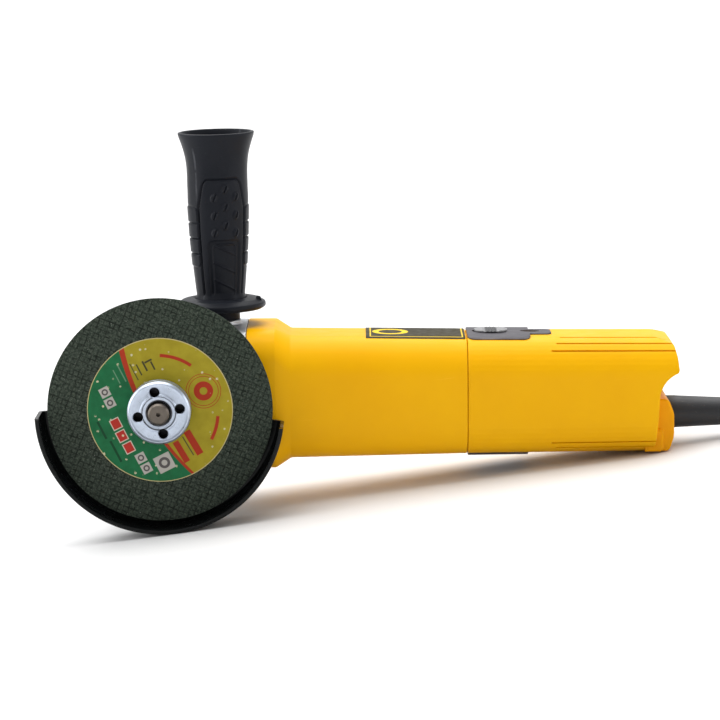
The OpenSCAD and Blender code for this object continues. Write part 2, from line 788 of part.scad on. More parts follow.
module commutator() {
    len = commutator_x[1] - commutator_x[0];
    color("peru") on_motor(commutator_x[0]) difference() {
        tube(commutator_r, shaft_r + gap, len);
        for (i = [0:23]) rotate([0, 0, 15 * i + 7.5]) translate([commutator_r - 0.5, -0.25, -1])
            cube([2, 0.5, len + 2]);
    }
}

module cooling_fan() {
    blades = 12;
    color("black") on_motor(fan_x) difference() {
        union() {
            cylinder(r = 9, h = 12);
            translate([0, 0, 10]) cylinder(r = fan_r, h = 2);
            for (i = [0:blades - 1]) rotate([0, 0, 360 * i / blades]) translate([7, -0.7, 0])
                rotate([0, 0, 12]) cube([fan_r - 8.5, 1.4, 11]);
        }
        translate([0, 0, -1]) cylinder(r = 4.5 + gap, h = 20);
    }
}

module pinion() {
    angle = atan2(pinion_r, gear_r);
    inner = root_point(angle, cone_len - tooth_len);
    outer = root_point(angle, cone_len);
    color("darkgray") on_motor() {
        rotate_extrude() polygon([
            [3 + gap, inner[1]], inner, outer, [5.6, outer[1] + 0.6], [5.6, 30.4], [3 + gap, 30.4]
        ]);
        for (i = [0:pinion_teeth - 1]) rotate([0, 0, 360 * (i + 0.5) / pinion_teeth + 90])
            bevel_tooth(angle);
    }
}

module brush_holders() {
    color("goldenrod") stand() for (side = [-1, 1]) difference() {
        translate([brush_x - 4.6, side > 0 ? 13 : -25.2, -5.6]) cube([9.2, 12.2, 11.2]);
        translate([brush_x - 3.1, side > 0 ? 12 : -24.2, -4.1]) cube([6.2, 12.2, 8.2]);
    }
}

module carbon_brushes() {
    color("black") stand() for (side = [-1, 1])
        translate([brush_x - 3, side > 0 ? 11.4 : -19.4, -4]) cube([6, 8, 8]);
}

module brush_springs() {
    color("silver") stand() for (side = [-1, 1], i = [0:3])
        translate([brush_x, side * (20 + i * 1.2), 0]) rotate([90, 0, 0])
            rotate_extrude() translate([2.2, 0]) circle(r = 0.4, $fn = 24);
}

// ---- Switch and wiring ----

module slide_knob() {
    color("darkgray") stand() translate([knob_x, 0, knob_z]) difference() {
        union() {
            intersection() {
                translate([0, -9, 0]) cylinder(r = 14, h = 1.6);
                translate([0, 9, 0]) cylinder(r = 14, h = 1.6);
                translate([-8, -8, 0]) cube([16, 16, 2]);
            }
            translate([-knob_shank / 2, -2, rod_z + 2 - knob_z]) cube([knob_shank, 4, knob_z - rod_z - 1.5]);
        }
        translate([-3.8, -10, 1]) cube([7.6, 20, 3]);
    }
}

module switch_rod() {
    color("ivory") stand() {
        translate([knob_x - 6, -4, rod_z]) cube([20, 8, 2]);
        translate([knob_x + 11, -4, rod_z - 6]) cube([3, 8, 6.5]);
    }
}

module switch_body() {
    color("dimgray") stand() difference() {
        translate([174.5, -9, 2]) cube([27, 18, 20]);
        translate([173, -4.5, 14]) cube([3, 9, 6]);
    }
}

module noise_capacitor() {
    color("khaki") stand() translate([205, -8, 4]) cube([15, 16, 12]);
}

module lead_wires() {
    color("firebrick") stand() for (side = [-1, 1]) {
        swept([
            [cord_start - 0.2, side * 1.6, -cord_drop], [211, side * 2.4, -10.6], [208, side * 5, -8],
            [206, side * 8, -3], [205, side * 10, 2], [202, side * 10.5, 6], [199.6, side * 10.4, 10]
        ], 1, 6);
        swept([
            [180, side * 10.3, 6], [172, side * 11, 4], [162, side * 13, 2], [152, side * 17, 3],
            [144.8, side * 19, 8]
        ], 1, 6);
    }
}

module cord_clamp() {
    color("black") stand() difference() {
        union() {
            translate([219.5, -12, -25]) cube([9, 24, 13.9]);
            translate([219.5, -12, -10.9]) cube([9, 24, 5.4]);
        }
        translate([200, 0, -cord_drop]) rotate([0, 90, 0]) cylinder(r = cord_r + 0.1, h = 40);
        for (y = [-8, 8]) translate([224, y, -22]) cylinder(r = 1.7, h = 30);
    }
}

module cord_clamp_screws() {
    color("dimgray") for (y = [-8, 8])
        stand() translate([224, y, -5.4]) screw(2.9, 2, 1.6, 14);
}

// ---- Cord ----

module strain_relief() {
    color("black") on_motor(0, 0, -cord_drop) rotate_extrude() polygon([
        [cord_r + 0.1, 230.4], [10, 230.4], [10, 233.8], [7.9, 233.8], [7.9, boss_end + 2],
        [7.8, boss_end + 3], [5.6, relief_end - 0.6], [5, relief_end], [cord_r + 0.1, relief_end]
    ]);
}

module cord() {
    straight = [for (x = [cord_start, 232, 250, 268, 286, relief_end]) to_floor([x, 0, -cord_drop])];
    color("black") {
        swept(concat(straight, lead_in), cord_r, 12);
        swept(lead_out, cord_r, 12);
    }
}

// Outer shape of the put-away length: four turns side by side, two layers
module cord_coil() {
    inner = coil_turn_r[0] - cord_r;
    outer = coil_turn_r[3] + cord_r;
    top = cord_d * 2;
    color("black") translate([coil_centre[0], coil_centre[1], 0]) rotate_extrude() polygon([
        [inner + 2, 0], [outer - 2, 0], [outer, 2], [outer, top - 2], [outer - 2, top],
        [inner + 2, top], [inner, top - 2], [inner, 2]
    ]);
}

module plug_body() {
    color("black") translate([plug_at[0], plug_at[1], plug_z]) rotate([90, 0, 0]) difference() {
        union() {
            cylinder(r1 = 5.5, r2 = 6.5, h = 12);
            hull() for (x = [-7, 7]) translate([x, 0, 12]) cylinder(r = 6, h = 2, $fn = 32);
            hull() for (x = [-6.5, 6.5]) translate([x, 0, 14]) cylinder(r = 8.5, h = plug_len - 14, $fn = 32);
        }
        translate([0, 0, -1]) cylinder(r = cord_r + 0.1, h = 10);
    }
}

module plug_pins() {
    color("silver") for (x = [-6.35, 6.35])
        translate([plug_at[0] + x - 0.75, plug_at[1] - plug_len - 18 - tiny, plug_z - 3.15])
            cube([1.5, 18, 6.3]);
}

// ---- Side handle ----

module handle_grip() {
    grip_r = grip_d / 2;
    flare_r = flare_d / 2;
    foot_r = handle_flange_d / 2;
    color("darkslategray") on_handle() rotate_extrude() polygon([
        [stud_r + gap, 0.1], [9, 0.1], [9, 5.2], [foot_r - 1.6, 5.4], [foot_r, 6.6], [foot_r, 9],
        [foot_r - 2.4, 10.6], [11.8, 12.4], [11.9, 14], [13.2, 27], [grip_r - 0.6, 41],
        [grip_r, 56], [grip_r, 74], [grip_r + 0.5, 80], [grip_r + 1.8, 86.5],
        [flare_r, handle_len - 0.8], [flare_r - 0.4, handle_len], [flare_r - 1.6, handle_len],
        [grip_r - 0.8, 82], [grip_r - 3, 70], [grip_r - 4.4, 40], [grip_r - 4.8, 34],
        [5.6, 34], [5.6, 6], [stud_r + gap, 6]
    ]);
}

module handle_stud() {
    color("silver") on_handle() rotate_extrude() polygon([
        [0, -11.5], [3, -11.5], [stud_r, -10.5], [stud_r, 6.2], [5.5, 6.2], [5.5, 32], [0, 32]
    ]);
}

gear_case();
gear_case_screws();
bearing_cover();
bearing_cover_screws();
spindle_ball_bearing();
spindle_needle_bearing();
dust_seal();
motor_housing();
rear_housing();
rear_housing_screws();
tail_cover();
name_plate();
switch_plate();
lower_plate();
air_baffle();
stator_core();
field_coils();
shaft_front_bearing();
shaft_rear_bearing();
brush_holders();
carbon_brushes();
brush_springs();
switch_body();
noise_capacitor();
lead_wires();
cord_clamp();
cord_clamp_screws();
strain_relief();
cord();
cord_coil();
plug_body();
plug_pins();
handle_grip();
handle_stud();
spindle();
bevel_gear();
gear_circlip();
spindle_spacer();
inner_flange();
cutting_disc();
disc_label();
disc_bore_ring();
lock_nut();
motor_shaft();
rotor_core();
rotor_windings();
commutator();
cooling_fan();
pinion();
wheel_guard();
guard_clamp();
guard_clamp_screw();
lock_button();
lock_pin();
lock_spring();
slide_knob();
switch_rod();
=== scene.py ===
import json
import math

import bmesh
import bpy
import numpy as np
from mathutils import Matrix, Vector


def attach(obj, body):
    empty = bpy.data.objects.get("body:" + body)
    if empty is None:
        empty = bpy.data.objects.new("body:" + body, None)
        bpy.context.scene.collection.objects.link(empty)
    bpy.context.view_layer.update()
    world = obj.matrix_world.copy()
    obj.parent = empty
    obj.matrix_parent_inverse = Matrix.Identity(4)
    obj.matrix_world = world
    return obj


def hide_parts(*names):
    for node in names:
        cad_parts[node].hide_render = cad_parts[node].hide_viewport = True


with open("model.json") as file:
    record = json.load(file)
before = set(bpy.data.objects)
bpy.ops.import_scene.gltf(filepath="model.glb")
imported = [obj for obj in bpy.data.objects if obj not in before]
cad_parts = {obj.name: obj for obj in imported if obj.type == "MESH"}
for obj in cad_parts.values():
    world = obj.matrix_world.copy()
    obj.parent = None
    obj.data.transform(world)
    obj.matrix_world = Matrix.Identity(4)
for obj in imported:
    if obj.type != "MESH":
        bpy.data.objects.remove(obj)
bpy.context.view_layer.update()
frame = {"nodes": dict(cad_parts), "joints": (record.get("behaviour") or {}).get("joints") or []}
nodes = frame["nodes"]

# ---- The tool's own frame: spindle along -Y, motor along +X, in millimetres ----

MM = 0.001
joints = {j["name"]: j for j in frame["joints"]}
TOOL_X = Vector(joints["armature_spin"]["axis"]).normalized()
TOOL_Y = -Vector(joints["spindle_spin"]["axis"]).normalized()
TOOL_Z = TOOL_X.cross(TOOL_Y)
TOOL_ORIGIN = Vector(joints["spindle_spin"]["pos_m"])


def place(x, y, z, origin=(0, 0, 0)):
    matrix = Matrix((x, y, z)).transposed().to_4x4()
    matrix.translation = origin
    return matrix


FLOOR = Matrix.Scale(MM, 4)
TOOL = place(TOOL_X, TOOL_Y, TOOL_Z, TOOL_ORIGIN) @ FLOOR
SPINDLE = TOOL @ place((1, 0, 0), (0, 0, 1), (0, -1, 0))
MOTOR = TOOL @ place((0, 0, -1), (0, 1, 0), (1, 0, 0))
HANDLE_FOOT = (27.7, 0, 36.3)
HANDLE = TOOL @ Matrix.Translation(HANDLE_FOOT) @ Matrix.Rotation(math.radians(-1), 4, "Y")

# Sizes shared by several pieces, as in the CAD model
COLLAR = (34.0, 30.5)
BODY_FRONT = (29.9, 29.0)
BODY_SEAM = (28.6, 28.2)
BODY_TAIL = (28.0, 27.4)
COLLAR_END, BODY_START, SEAM_X, TAIL_X = 54.2, 61.1, 146.3, 248.0
COLLAR_CORNER, BODY_CORNER = 14.0, 17.0
BOSS_END = TAIL_X - 1.6
CORD_DROP = 11.0
CORD_R = 3.5
RELIEF_END = BOSS_END + 59.6
DISC_BORE = 9.0
DISC_R = 53.3
DISC_BACK = 47.0
DISC_FRONT = 48.2
NUT_BACK = 48.4
NUT_T = 9.3
KNOB_X = 158.3


# ---- Mesh helpers ----

def new_object(name, mesh):
    obj = bpy.data.objects.new(name, mesh)
    bpy.context.scene.collection.objects.link(obj)
    return obj


def shade(mesh, sharp_angle):
    mesh.shade_smooth()
    mesh.set_sharp_from_angle(angle=math.radians(sharp_angle))


def solid(name, matrix, points, faces, sharp_angle=35):
    """A closed mesh from points in the frame of matrix, with its normals outward."""
    mesh = bpy.data.meshes.new(name)
    mesh.from_pydata([matrix @ Vector(p) for p in points], [], faces)
    tidy = bmesh.new()
    tidy.from_mesh(mesh)
    bmesh.ops.remove_doubles(tidy, verts=tidy.verts, dist=1e-6)
    bmesh.ops.recalc_face_normals(tidy, faces=tidy.faces)
    tidy.to_mesh(mesh)
    tidy.free()
    shade(mesh, sharp_angle)
    return new_object(name, mesh)


def fillet(corners, steps=4):
    """Outline of a polygon whose corners (x, y, radius) are rounded."""
    outline = []
    count = len(corners)
    for i, corner in enumerate(corners):
        here = Vector(corner[:2])
        radius = corner[2] if len(corner) > 2 else 0
        if radius == 0:
            outline.append(tuple(here))
            continue
        back = (Vector(corners[i - 1][:2]) - here).normalized()
        ahead = (Vector(corners[(i + 1) % count][:2]) - here).normalized()
        half = back.angle(ahead) / 2
        cut = radius / math.tan(half)
        centre = here + (back + ahead).normalized() * (radius / math.sin(half))
        first = (here + back * cut - centre).normalized()
        last = (here + ahead * cut - centre).normalized()
        for k in range(steps + 1):
            outline.append(tuple(centre + first.slerp(last, k / steps) * radius))
    return outline


def ring_faces(steps, rings, count):
    """Faces between neighbouring rings of count points each."""
    faces = []
    for i in range(steps):
        one, two = i * count, (i + 1) % rings * count
        for k in range(count):
            n = (k + 1) % count
            faces.append((one + k, two + k, two + n, one + n))
    return faces


def revolve(name, matrix, profile, steps=96, start=0.0, span=360.0, sharp_angle=35):
    """Turns a closed profile of (radius, z) about the local Z axis."""
    full = span >= 360
    rings = steps if full else steps + 1
    count = len(profile)
    points = []
    for i in range(rings):
        a = math.radians(start + span * i / steps)
        points += [(r * math.cos(a), r * math.sin(a), z) for r, z in profile]
    faces = ring_faces(steps, rings, count)
    if not full:
        faces.append(tuple(range(count)))
        faces.append(tuple(steps * count + k for k in range(count)))
    return solid(name, matrix, points, faces, sharp_angle)


def loft(name, matrix, sections, sharp_angle=35):
    """Closed solid through sections of the same number of points."""
    count = len(sections[0])
    points = [p for s in sections for p in s]
    faces = [tuple(range(count)), tuple((len(sections) - 1) * count + k for k in range(count))]
    for i in range(len(sections) - 1):
        for k in range(count):
            n = (k + 1) % count
            faces.append((i * count + k, i * count + n, (i + 1) * count + n, (i + 1) * count + k))
    return solid(name, matrix, points, faces, sharp_angle)


def slab(name, matrix, outline, near, far):
    """Closed solid with an outline of (x, z), from depth near to depth far along Y."""
    return loft(name, matrix, [[(x, y, z) for x, z in outline] for y in (near, far)])


def rounded(half_x, half_y, radius, steps=10):
    """Outline of a rectangle with round corners."""
    radius = min(radius, half_x - 0.01, half_y - 0.01)
    corners = [(half_x, half_y, radius), (-half_x, half_y, radius), (-half_x, -half_y, radius),
               (half_x, -half_y, radius)]
    return fillet(corners, steps)


def body_section(x, halves, corner, inset=0.0):
    """Section of the housing at x: halves are its half height and half depth."""
    outline = rounded(halves[1] - inset, halves[0] - inset, corner - inset * 0.6)
    return [(x, y, z) for y, z in outline]


def end_sections(x, halves, corner, radius, inward):
    """Sections that round off an end: inward is +1 at the front end and -1 at the back end."""
    sections = []
    for k in range(5):
        a = math.radians(90 * k / 4)
        inset = radius * (1 - math.sin(a))
        sections.append(body_section(x + inward * radius * (1 - math.cos(a)), halves, corner, inset))
    return sections


def join(objects, name):
    """One mesh object out of several."""
    joined = bmesh.new()
    for o in objects:
        joined.from_mesh(o.data)
        bpy.data.objects.remove(o)
    mesh = bpy.data.meshes.new(name)
    joined.to_mesh(mesh)
    joined.free()
    shade(mesh, 35)
    return new_object(name, mesh)


def apply_modifiers(obj, sharp_angle=35):
    depsgraph = bpy.context.evaluated_depsgraph_get()
    mesh = bpy.data.meshes.new_from_object(obj.evaluated_get(depsgraph))
    obj.modifiers.clear()
    obj.data = mesh
    shade(mesh, sharp_angle)
    return obj


def combine(obj, tool, operation, sharp_angle=35):
    """Cuts obj with a closed tool, keeps what they share, or adds the tool."""
    modifier = obj.modifiers.new("combine", "BOOLEAN")
    modifier.operation = operation
    modifier.solver = "EXACT"
    modifier.object = tool
    apply_modifiers(obj, sharp_angle)
    bpy.data.objects.remove(tool)
    return obj


def moulded(obj, voxel, smoothing):
    """Rounds every edge a little, as moulded or cast pieces are."""
    remesh = obj.modifiers.new("remesh", "REMESH")
    remesh.mode = "VOXEL"
    remesh.voxel_size = voxel * MM
    remesh.use_smooth_shade = True
    smooth = obj.modifiers.new("smooth", "SMOOTH")
    smooth.factor = 0.5
    smooth.iterations = smoothing
    return obj


def softened(obj, width, segments=2, angle=40):
    """Small bevels on the sharp edges."""
    bevel = obj.modifiers.new("bevel", "BEVEL")
    bevel.width = width * MM
    bevel.segments = segments
    bevel.limit_method = "ANGLE"
    bevel.angle_limit = math.radians(angle)
    bevel.harden_normals = True
    return obj


# ---- Material helpers ----

def add(tree, kind, inputs=None, **settings):
    """Adds a node; inputs are values or output sockets."""
    made = tree.nodes.new(kind)
    for key, value in settings.items():
        setattr(made, key, value)
    for key, value in (inputs or {}).items():
        if isinstance(value, bpy.types.NodeSocket):
            tree.links.new(value, made.inputs[key])
        else:
            made.inputs[key].default_value = value
    return made


def calc(tree, operation, a, b=0.0, c=0.0):
    return add(tree, "ShaderNodeMath", {0: a, 1: b, 2: c}, operation=operation).outputs[0]


def plus(tree, a, b):
    return calc(tree, "ADD", a, b)


def minus(tree, a, b):
    return calc(tree, "SUBTRACT", a, b)


def times(tree, a, b):
    return calc(tree, "MULTIPLY", a, b)


def size_of(tree, a):
    return calc(tree, "ABSOLUTE", a)


def blend(tree, factor, a, b):
    mixed = add(tree, "ShaderNodeMix", {"Factor": factor}, data_type="RGBA")
    for socket, value in ((mixed.inputs[6], a), (mixed.inputs[7], b)):
        if isinstance(value, bpy.types.NodeSocket):
            tree.links.new(value, socket)
        else:
            socket.default_value = (*value, 1)
    return mixed.outputs[2]


def ramp(tree, value, low, high, to_low=0.0, to_high=1.0):
    return add(
        tree, "ShaderNodeMapRange",
        {"Value": value, "From Min": low, "From Max": high, "To Min": to_low, "To Max": to_high}
    ).outputs["Result"]


def noise(tree, where, scale, detail=2.0, roughness=0.5):
    return add(
        tree, "ShaderNodeTexNoise",
        {"Vector": where, "Scale": scale, "Detail": detail, "Roughness": roughness}
    ).outputs["Fac"]


def mottle(tree, cloud, a, b):
    """Two tones mixed by a noise."""
    return blend(tree, ramp(tree, cloud, 0.3, 0.7), a, b)


def start_material(name):
    made = bpy.data.materials.new(name)
    made.use_nodes = True
    tree = made.node_tree
    shader = next(n for n in tree.nodes if n.type == "BSDF_PRINCIPLED")
    where = add(tree, "ShaderNodeTexCoord").outputs["Object"]
    return made, tree, shader, where


def set_shader(shader, **values):
    for key, value in values.items():
        shader.inputs[key.replace("_", " ")].default_value = value


def connect(tree, shader, colour=None, rough=None, heights=()):
    """Links colour, roughness and the bumps: heights are (height, depth in mm)."""
    if colour is not None:
        tree.links.new(colour, shader.inputs["Base Color"])
    if rough is not None:
        tree.links.new(rough, shader.inputs["Roughness"])
    normal = None
    for height, depth in heights:
        inputs = {"Height": height, "Distance": depth * MM, "Strength": 1.0}
        if normal is not None:
            inputs["Normal"] = normal
        normal = add(tree, "ShaderNodeBump", inputs).outputs["Normal"]
    if normal is not None:
        tree.links.new(normal, shader.inputs["Normal"])


def finish_material(name, colour, rough, worn=None, metal=0.0, coat=0.0, grain=(1500, 0.02), tone=0.08,
                    scratches=0.0, dust=0.0, specular=0.5):
    """Surface with blotches of tone, fine grain, worn edges, scratches and dust."""
    made, tree, shader, where = start_material(name)
    set_shader(shader, Metallic=metal, Coat_Weight=coat, Coat_Roughness=0.12, Specular_IOR_Level=specular)
    dark = tuple(c * (1 - tone) for c in colour)
    light = tuple(min(1.0, c * (1 + tone)) for c in colour)
    mixed = mottle(tree, noise(tree, where, 38, 4, 0.6), dark, light)
    fine = noise(tree, where, grain[0], 2)
    handled = noise(tree, where, 90, 5, 0.65)
    roughness = ramp(tree, handled, 0.25, 0.75, rough - 0.07, rough + 0.09)
    heights = [(fine, grain[1])]
    if worn:
        edge = add(tree, "ShaderNodeNewGeometry").outputs["Pointiness"]
        rubbed = times(tree, ramp(tree, edge, 0.53, 0.6), ramp(tree, handled, 0.4, 0.6))
        mixed = blend(tree, rubbed, mixed, worn)
    if scratches:
        stretched = add(tree, "ShaderNodeMapping", {"Vector": where, "Rotation": (0.2, 0.5, 0.35),
                                                    "Scale": (30, 260, 900)}).outputs["Vector"]
        lines = ramp(tree, noise(tree, stretched, 1.6, 3, 0.7), 0.66, 0.72)
        amount = times(tree, lines, scratches)
        mixed = blend(tree, amount, mixed, tuple(min(1.0, c * 1.3 + 0.05) for c in colour))
        heights.append((lines, -0.01))
    if dust:
        grains = ramp(tree, noise(tree, where, 700, 6, 0.75), 0.62, 0.72)
        mixed = blend(tree, times(tree, grains, dust), mixed, (0.42, 0.4, 0.37))
    connect(tree, shader, mixed, roughness, heights)
    return made


def offsets(tree, where, *directions):
    """Offsets of a point from the tool's origin along the given directions, in millimetres."""
    offset = add(tree, "ShaderNodeVectorMath", {0: where, 1: tuple(TOOL_ORIGIN)},
                 operation="SUBTRACT").outputs[0]
    found = []
    for direction in directions:
        along = add(tree, "ShaderNodeVectorMath", {0: offset, 1: tuple(direction / MM)},
                    operation="DOT_PRODUCT").outputs["Value"]
        found.append(along)
    return found


def length2(tree, u, v):
    return calc(tree, "SQRT", plus(tree, times(tree, u, u), times(tree, v, v)))


# ---- Camera, at the photographed viewing angle ----

CAMERA_DISTANCE = 1.508
CAMERA_ELEVATION = 9.0
CAMERA_ROLL = 0.45
CAMERA_LENS = 154.5
PRINCIPAL_X = 0.0946
PRINCIPAL_Z = 0.0161


def make_camera():
    data = bpy.data.cameras.new("camera")
    data.lens = CAMERA_LENS
    data.sensor_width = 36
    data.clip_start, data.clip_end = 0.05, 60
    camera = bpy.data.objects.new("camera", data)
    bpy.context.scene.collection.objects.link(camera)
    tilt = math.radians(CAMERA_ELEVATION)
    roll = math.radians(CAMERA_ROLL)
    ahead = TOOL_Y * math.cos(tilt) - TOOL_Z * math.sin(tilt)
    level_up = TOOL_Y * math.sin(tilt) + TOOL_Z * math.cos(tilt)
    right = TOOL_X * math.cos(roll) - level_up * math.sin(roll)
    upward = level_up * math.cos(roll) + TOOL_X * math.sin(roll)
    eye = TOOL_ORIGIN + right * PRINCIPAL_X + upward * PRINCIPAL_Z - ahead * CAMERA_DISTANCE
    camera.matrix_world = place(right, upward, -ahead, eye)
    bpy.context.scene.camera = camera


make_camera()

# ---- Cord: out of the strain relief, down to the floor, into a coil, and to the plug ----

STAND_Y = TOOL_ORIGIN.y / MM
COIL_TURNS = (52.5, 45.5, 38.5, 31.5)
COIL_CENTRE = (246.0, STAND_Y + COIL_TURNS[0])
COIL_START = -90
LAYER_STEP = 7.0
LOWEST_Z = 3.6
PLUG_AT = (COIL_CENTRE[0] - 38, COIL_CENTRE[1] + 22, 22.6)
# Steps of the coil: angle where each begins, its span, and how far it goes
TURN_STEPS = (
    (210, 60, -7), (570, 60, -7), (930, 60, -7), (1530, 60, 7), (1890, 60, 7), (2250, 60, 7),
    (2545, 45, -10.5)
)
CLIMBS = ((1230, 60, 1), (2520, 35, 1))
COIL_END = 2610
STEP_DEG = 10


def ease(t):
    t = min(1.0, max(0.0, t))
    return t * t * (3 - 2 * t)


def coil_points():
    """Four turns inward on the floor, four outward on top of them, and a quarter turn over those."""
    points = []
    for angle in range(COIL_START + STEP_DEG, COIL_END + 1, STEP_DEG):
        radius = COIL_TURNS[0] + sum(far * ease((angle - begin) / span) for begin, span, far in TURN_STEPS)
        level = sum(far * ease((angle - begin) / span) for begin, span, far in CLIMBS)
        a = math.radians(angle)
        points.append((COIL_CENTRE[0] + radius * math.cos(a), COIL_CENTRE[1] + radius * math.sin(a),
                       LOWEST_Z + LAYER_STEP * level))
    return points


def lead_out_points():
    """Off the top of the coil, round a quarter turn, and straight into the plug."""
    points = [(COIL_CENTRE[0] - 9, COIL_CENTRE[1] + 42, LOWEST_Z + 14.1)]
    for k in range(10):
        a = math.radians(90 + 10 * k)
        rise = ease(k / 9)
        points.append((COIL_CENTRE[0] - 18 + 20 * math.cos(a), COIL_CENTRE[1] + 22 + 20 * math.sin(a),
                       18.0 + (PLUG_AT[2] - 18.0) * rise))
    points.append((PLUG_AT[0], PLUG_AT[1] - 4, PLUG_AT[2]))
    return points


def make_cord():
    exit_point = TOOL @ Vector((BOSS_END, 0, -CORD_DROP))
    straight = [TOOL @ Vector((x, 0, -CORD_DROP)) for x in (250, 259, 268, 277, 286, 296, RELIEF_END)]
    lead_in = [(212, 7.4), (218, 6.5), (225, 5.5), (232, 4.6), (238, 4), (COIL_CENTRE[0], LOWEST_Z)]
    route = [exit_point, *straight]
    route += [FLOOR @ Vector((x, STAND_Y, z)) for x, z in lead_in]
    route += [FLOOR @ Vector(p) for p in coil_points()]
    route += [FLOOR @ Vector(p) for p in lead_out_points()]
    data = bpy.data.curves.new("cord_flex", "CURVE")
    data.dimensions = "3D"
    data.bevel_depth = 1.0
    data.bevel_resolution = 5
    data.use_fill_caps = True
    spline = data.splines.new("POLY")
    spline.points.add(len(route) - 1)
    for point, at in zip(spline.points, route):
        point.co = (*at, 1)
        point.radius = CORD_R * MM
    spline.use_smooth = True
    return new_object("cord_flex", data), exit_point


cord_flex, cord_exit = make_cord()


def make_strain_relief():
    """Tapered sleeve with fine rings toward its tip."""
    outline = [
        (CORD_R + 0.05, BOSS_END - 8), (7.9, BOSS_END - 8), (7.9, BOSS_END + 1.6), (7.8, BOSS_END + 2.6)
    ]
    ring_from, ring_pitch = RELIEF_END - 24, 4.0
    for k in range(6):
        z = ring_from + k * ring_pitch
        r = 7.8 - 2.6 * (z - BOSS_END) / (RELIEF_END - BOSS_END)
        outline += [(r, z), (r - 0.45, z + 0.4), (r - 0.5, z + 1.1), (r - 0.1, z + 1.5)]
    outline += [(5.1, RELIEF_END - 0.7), (4.6, RELIEF_END), (CORD_R + 0.05, RELIEF_END)]
    return revolve("strain_relief_sleeve", MOTOR @ Matrix.Translation((CORD_DROP, 0, 0)), outline, 64)


def make_plug():
    """Moulded plug: a neck with grip ribs and a flat body with softly rounded edges."""
    sections = []
    stations = [
        (0, 5.4, 5.4), (1, 5.9, 5.9), (3, 5.9, 5.9), (4, 5.2, 5.2), (5, 6.1, 6.1), (7, 6.1, 6.1),
        (8, 5.4, 5.4), (9, 6.4, 6.3), (11, 6.5, 6.4), (12, 7.2, 6.2), (13, 12.8, 6.4), (14, 14.3, 7.6),
        (15.5, 14.9, 8.3), (18, 15, 8.5), (36, 15, 8.5), (37.4, 14.6, 8.1), (38, 13.8, 7.4)
    ]
    for y, half_x, half_z in stations:
        outline = rounded(half_x, half_z, min(half_x, half_z) * 0.96, 7)
        sections.append([(PLUG_AT[0] + x, PLUG_AT[1] - y, PLUG_AT[2] + z) for x, z in outline])
    return loft("plug_shell", FLOOR, sections, 50)


relief = make_strain_relief()
plug = make_plug()
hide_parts("cord", "cord_coil")
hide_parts("strain_relief")
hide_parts("plug_body")
for piece in (cord_flex, relief, plug):
    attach(piece, "housing")


# ---- Housing ----

def make_motor_housing():
    front = 40.3
    sections = end_sections(front, COLLAR, COLLAR_CORNER, 0.8, 1)
    sections.append(body_section(COLLAR_END - 0.5, COLLAR, COLLAR_CORNER))
    sections.append(body_section(COLLAR_END + 0.3, (COLLAR[0] - 0.35, COLLAR[1] - 0.1), COLLAR_CORNER))
    sections.append(body_section(BODY_START - 0.3, (BODY_FRONT[0] + 0.25, BODY_FRONT[1] + 0.1), BODY_CORNER))
    sections.append(body_section(BODY_START + 0.5, BODY_FRONT, BODY_CORNER))
    sections += end_sections(SEAM_X - 0.05, BODY_SEAM, BODY_CORNER, 0.5, -1)[::-1]
    return loft("motor_shell", TOOL, sections, 20)


def tail_outline():
    """Side outline of the rear housing: a sloping crown over a scoop above the cord."""
    scoop = [(TAIL_X + 4.5 + 14 * math.cos(math.radians(a)), -1 + 14 * math.sin(math.radians(a)))
             for a in range(180, 109, -7)]
    crown = fillet([(247.9, 13.4), (247.2, 19.5, 6), (245.6, 25.4, 2.6), (234.4, 28.6, 8), (220, 29.4),
                    (SEAM_X + 0.1, 40), (SEAM_X + 0.1, -40), (TAIL_X - 11.9, -40), (TAIL_X - 10.7, -20)])
    return [*crown, *scoop]


# Angle of each groove round the corner, and where it starts
GROOVE_STARTS = ((43, 186.5), (59.5, 189), (80, 191), (-38, 186.5), (-52, 189))
GROOVE_DEPTH = 1.9
OPEN_GROOVE = 43
AIR_SLOT = (209.0, 232.0)


def groove_cutters():
    """Wedges that cut the grooves into both sides, and the air slots in the open ones."""
    cutters = []
    for side_sign in (-1, 1):
        for angle, start in GROOVE_STARTS:
            a = math.radians(angle)
            centre = (side_sign * 11.0, 11.4 if angle > 0 else -11.4)
            out = (side_sign * math.cos(a), math.sin(a))
            wide = (-out[1], out[0])

            def section(x, corners):
                return [(x, centre[0] + out[0] * r + wide[0] * w, centre[1] + out[1] * r + wide[1] * w)
                        for r, w in corners]

            sections = []
            for x, depth in ((start, 0.2), (start + 1.2, GROOVE_DEPTH), (TAIL_X + 2, GROOVE_DEPTH)):
                inner, outer = BODY_CORNER - depth, BODY_CORNER + 3
                sections.append(section(x, ((inner, -0.35), (outer, -0.7), (outer, 0.7), (inner, 0.35))))
            cutters.append(loft("groove", TOOL, sections))
            if angle == OPEN_GROOVE:
                inner, outer = BODY_CORNER - 7, BODY_CORNER - 1.5
                slot = ((inner, -0.3), (outer, -0.3), (outer, 0.3), (inner, 0.3))
                cutters.append(loft("air_slot", TOOL, [section(x, slot) for x in AIR_SLOT]))
    return cutters


def make_rear_housing():
    """Shell cut to the side outline, moulded, and grooved."""
    front, back = SEAM_X + 0.15, TAIL_X + 1.5
    shell = loft("rear_shell", TOOL, [
        body_section(front, BODY_SEAM, BODY_CORNER), body_section(back, BODY_TAIL, BODY_CORNER)
    ], 20)
    combine(shell, slab("side_outline", TOOL, tail_outline(), -45, 45), "INTERSECT")
    apply_modifiers(moulded(shell, 0.55, 4), 60)
    return combine(shell, join(groove_cutters(), "grooves"), "DIFFERENCE", 50)


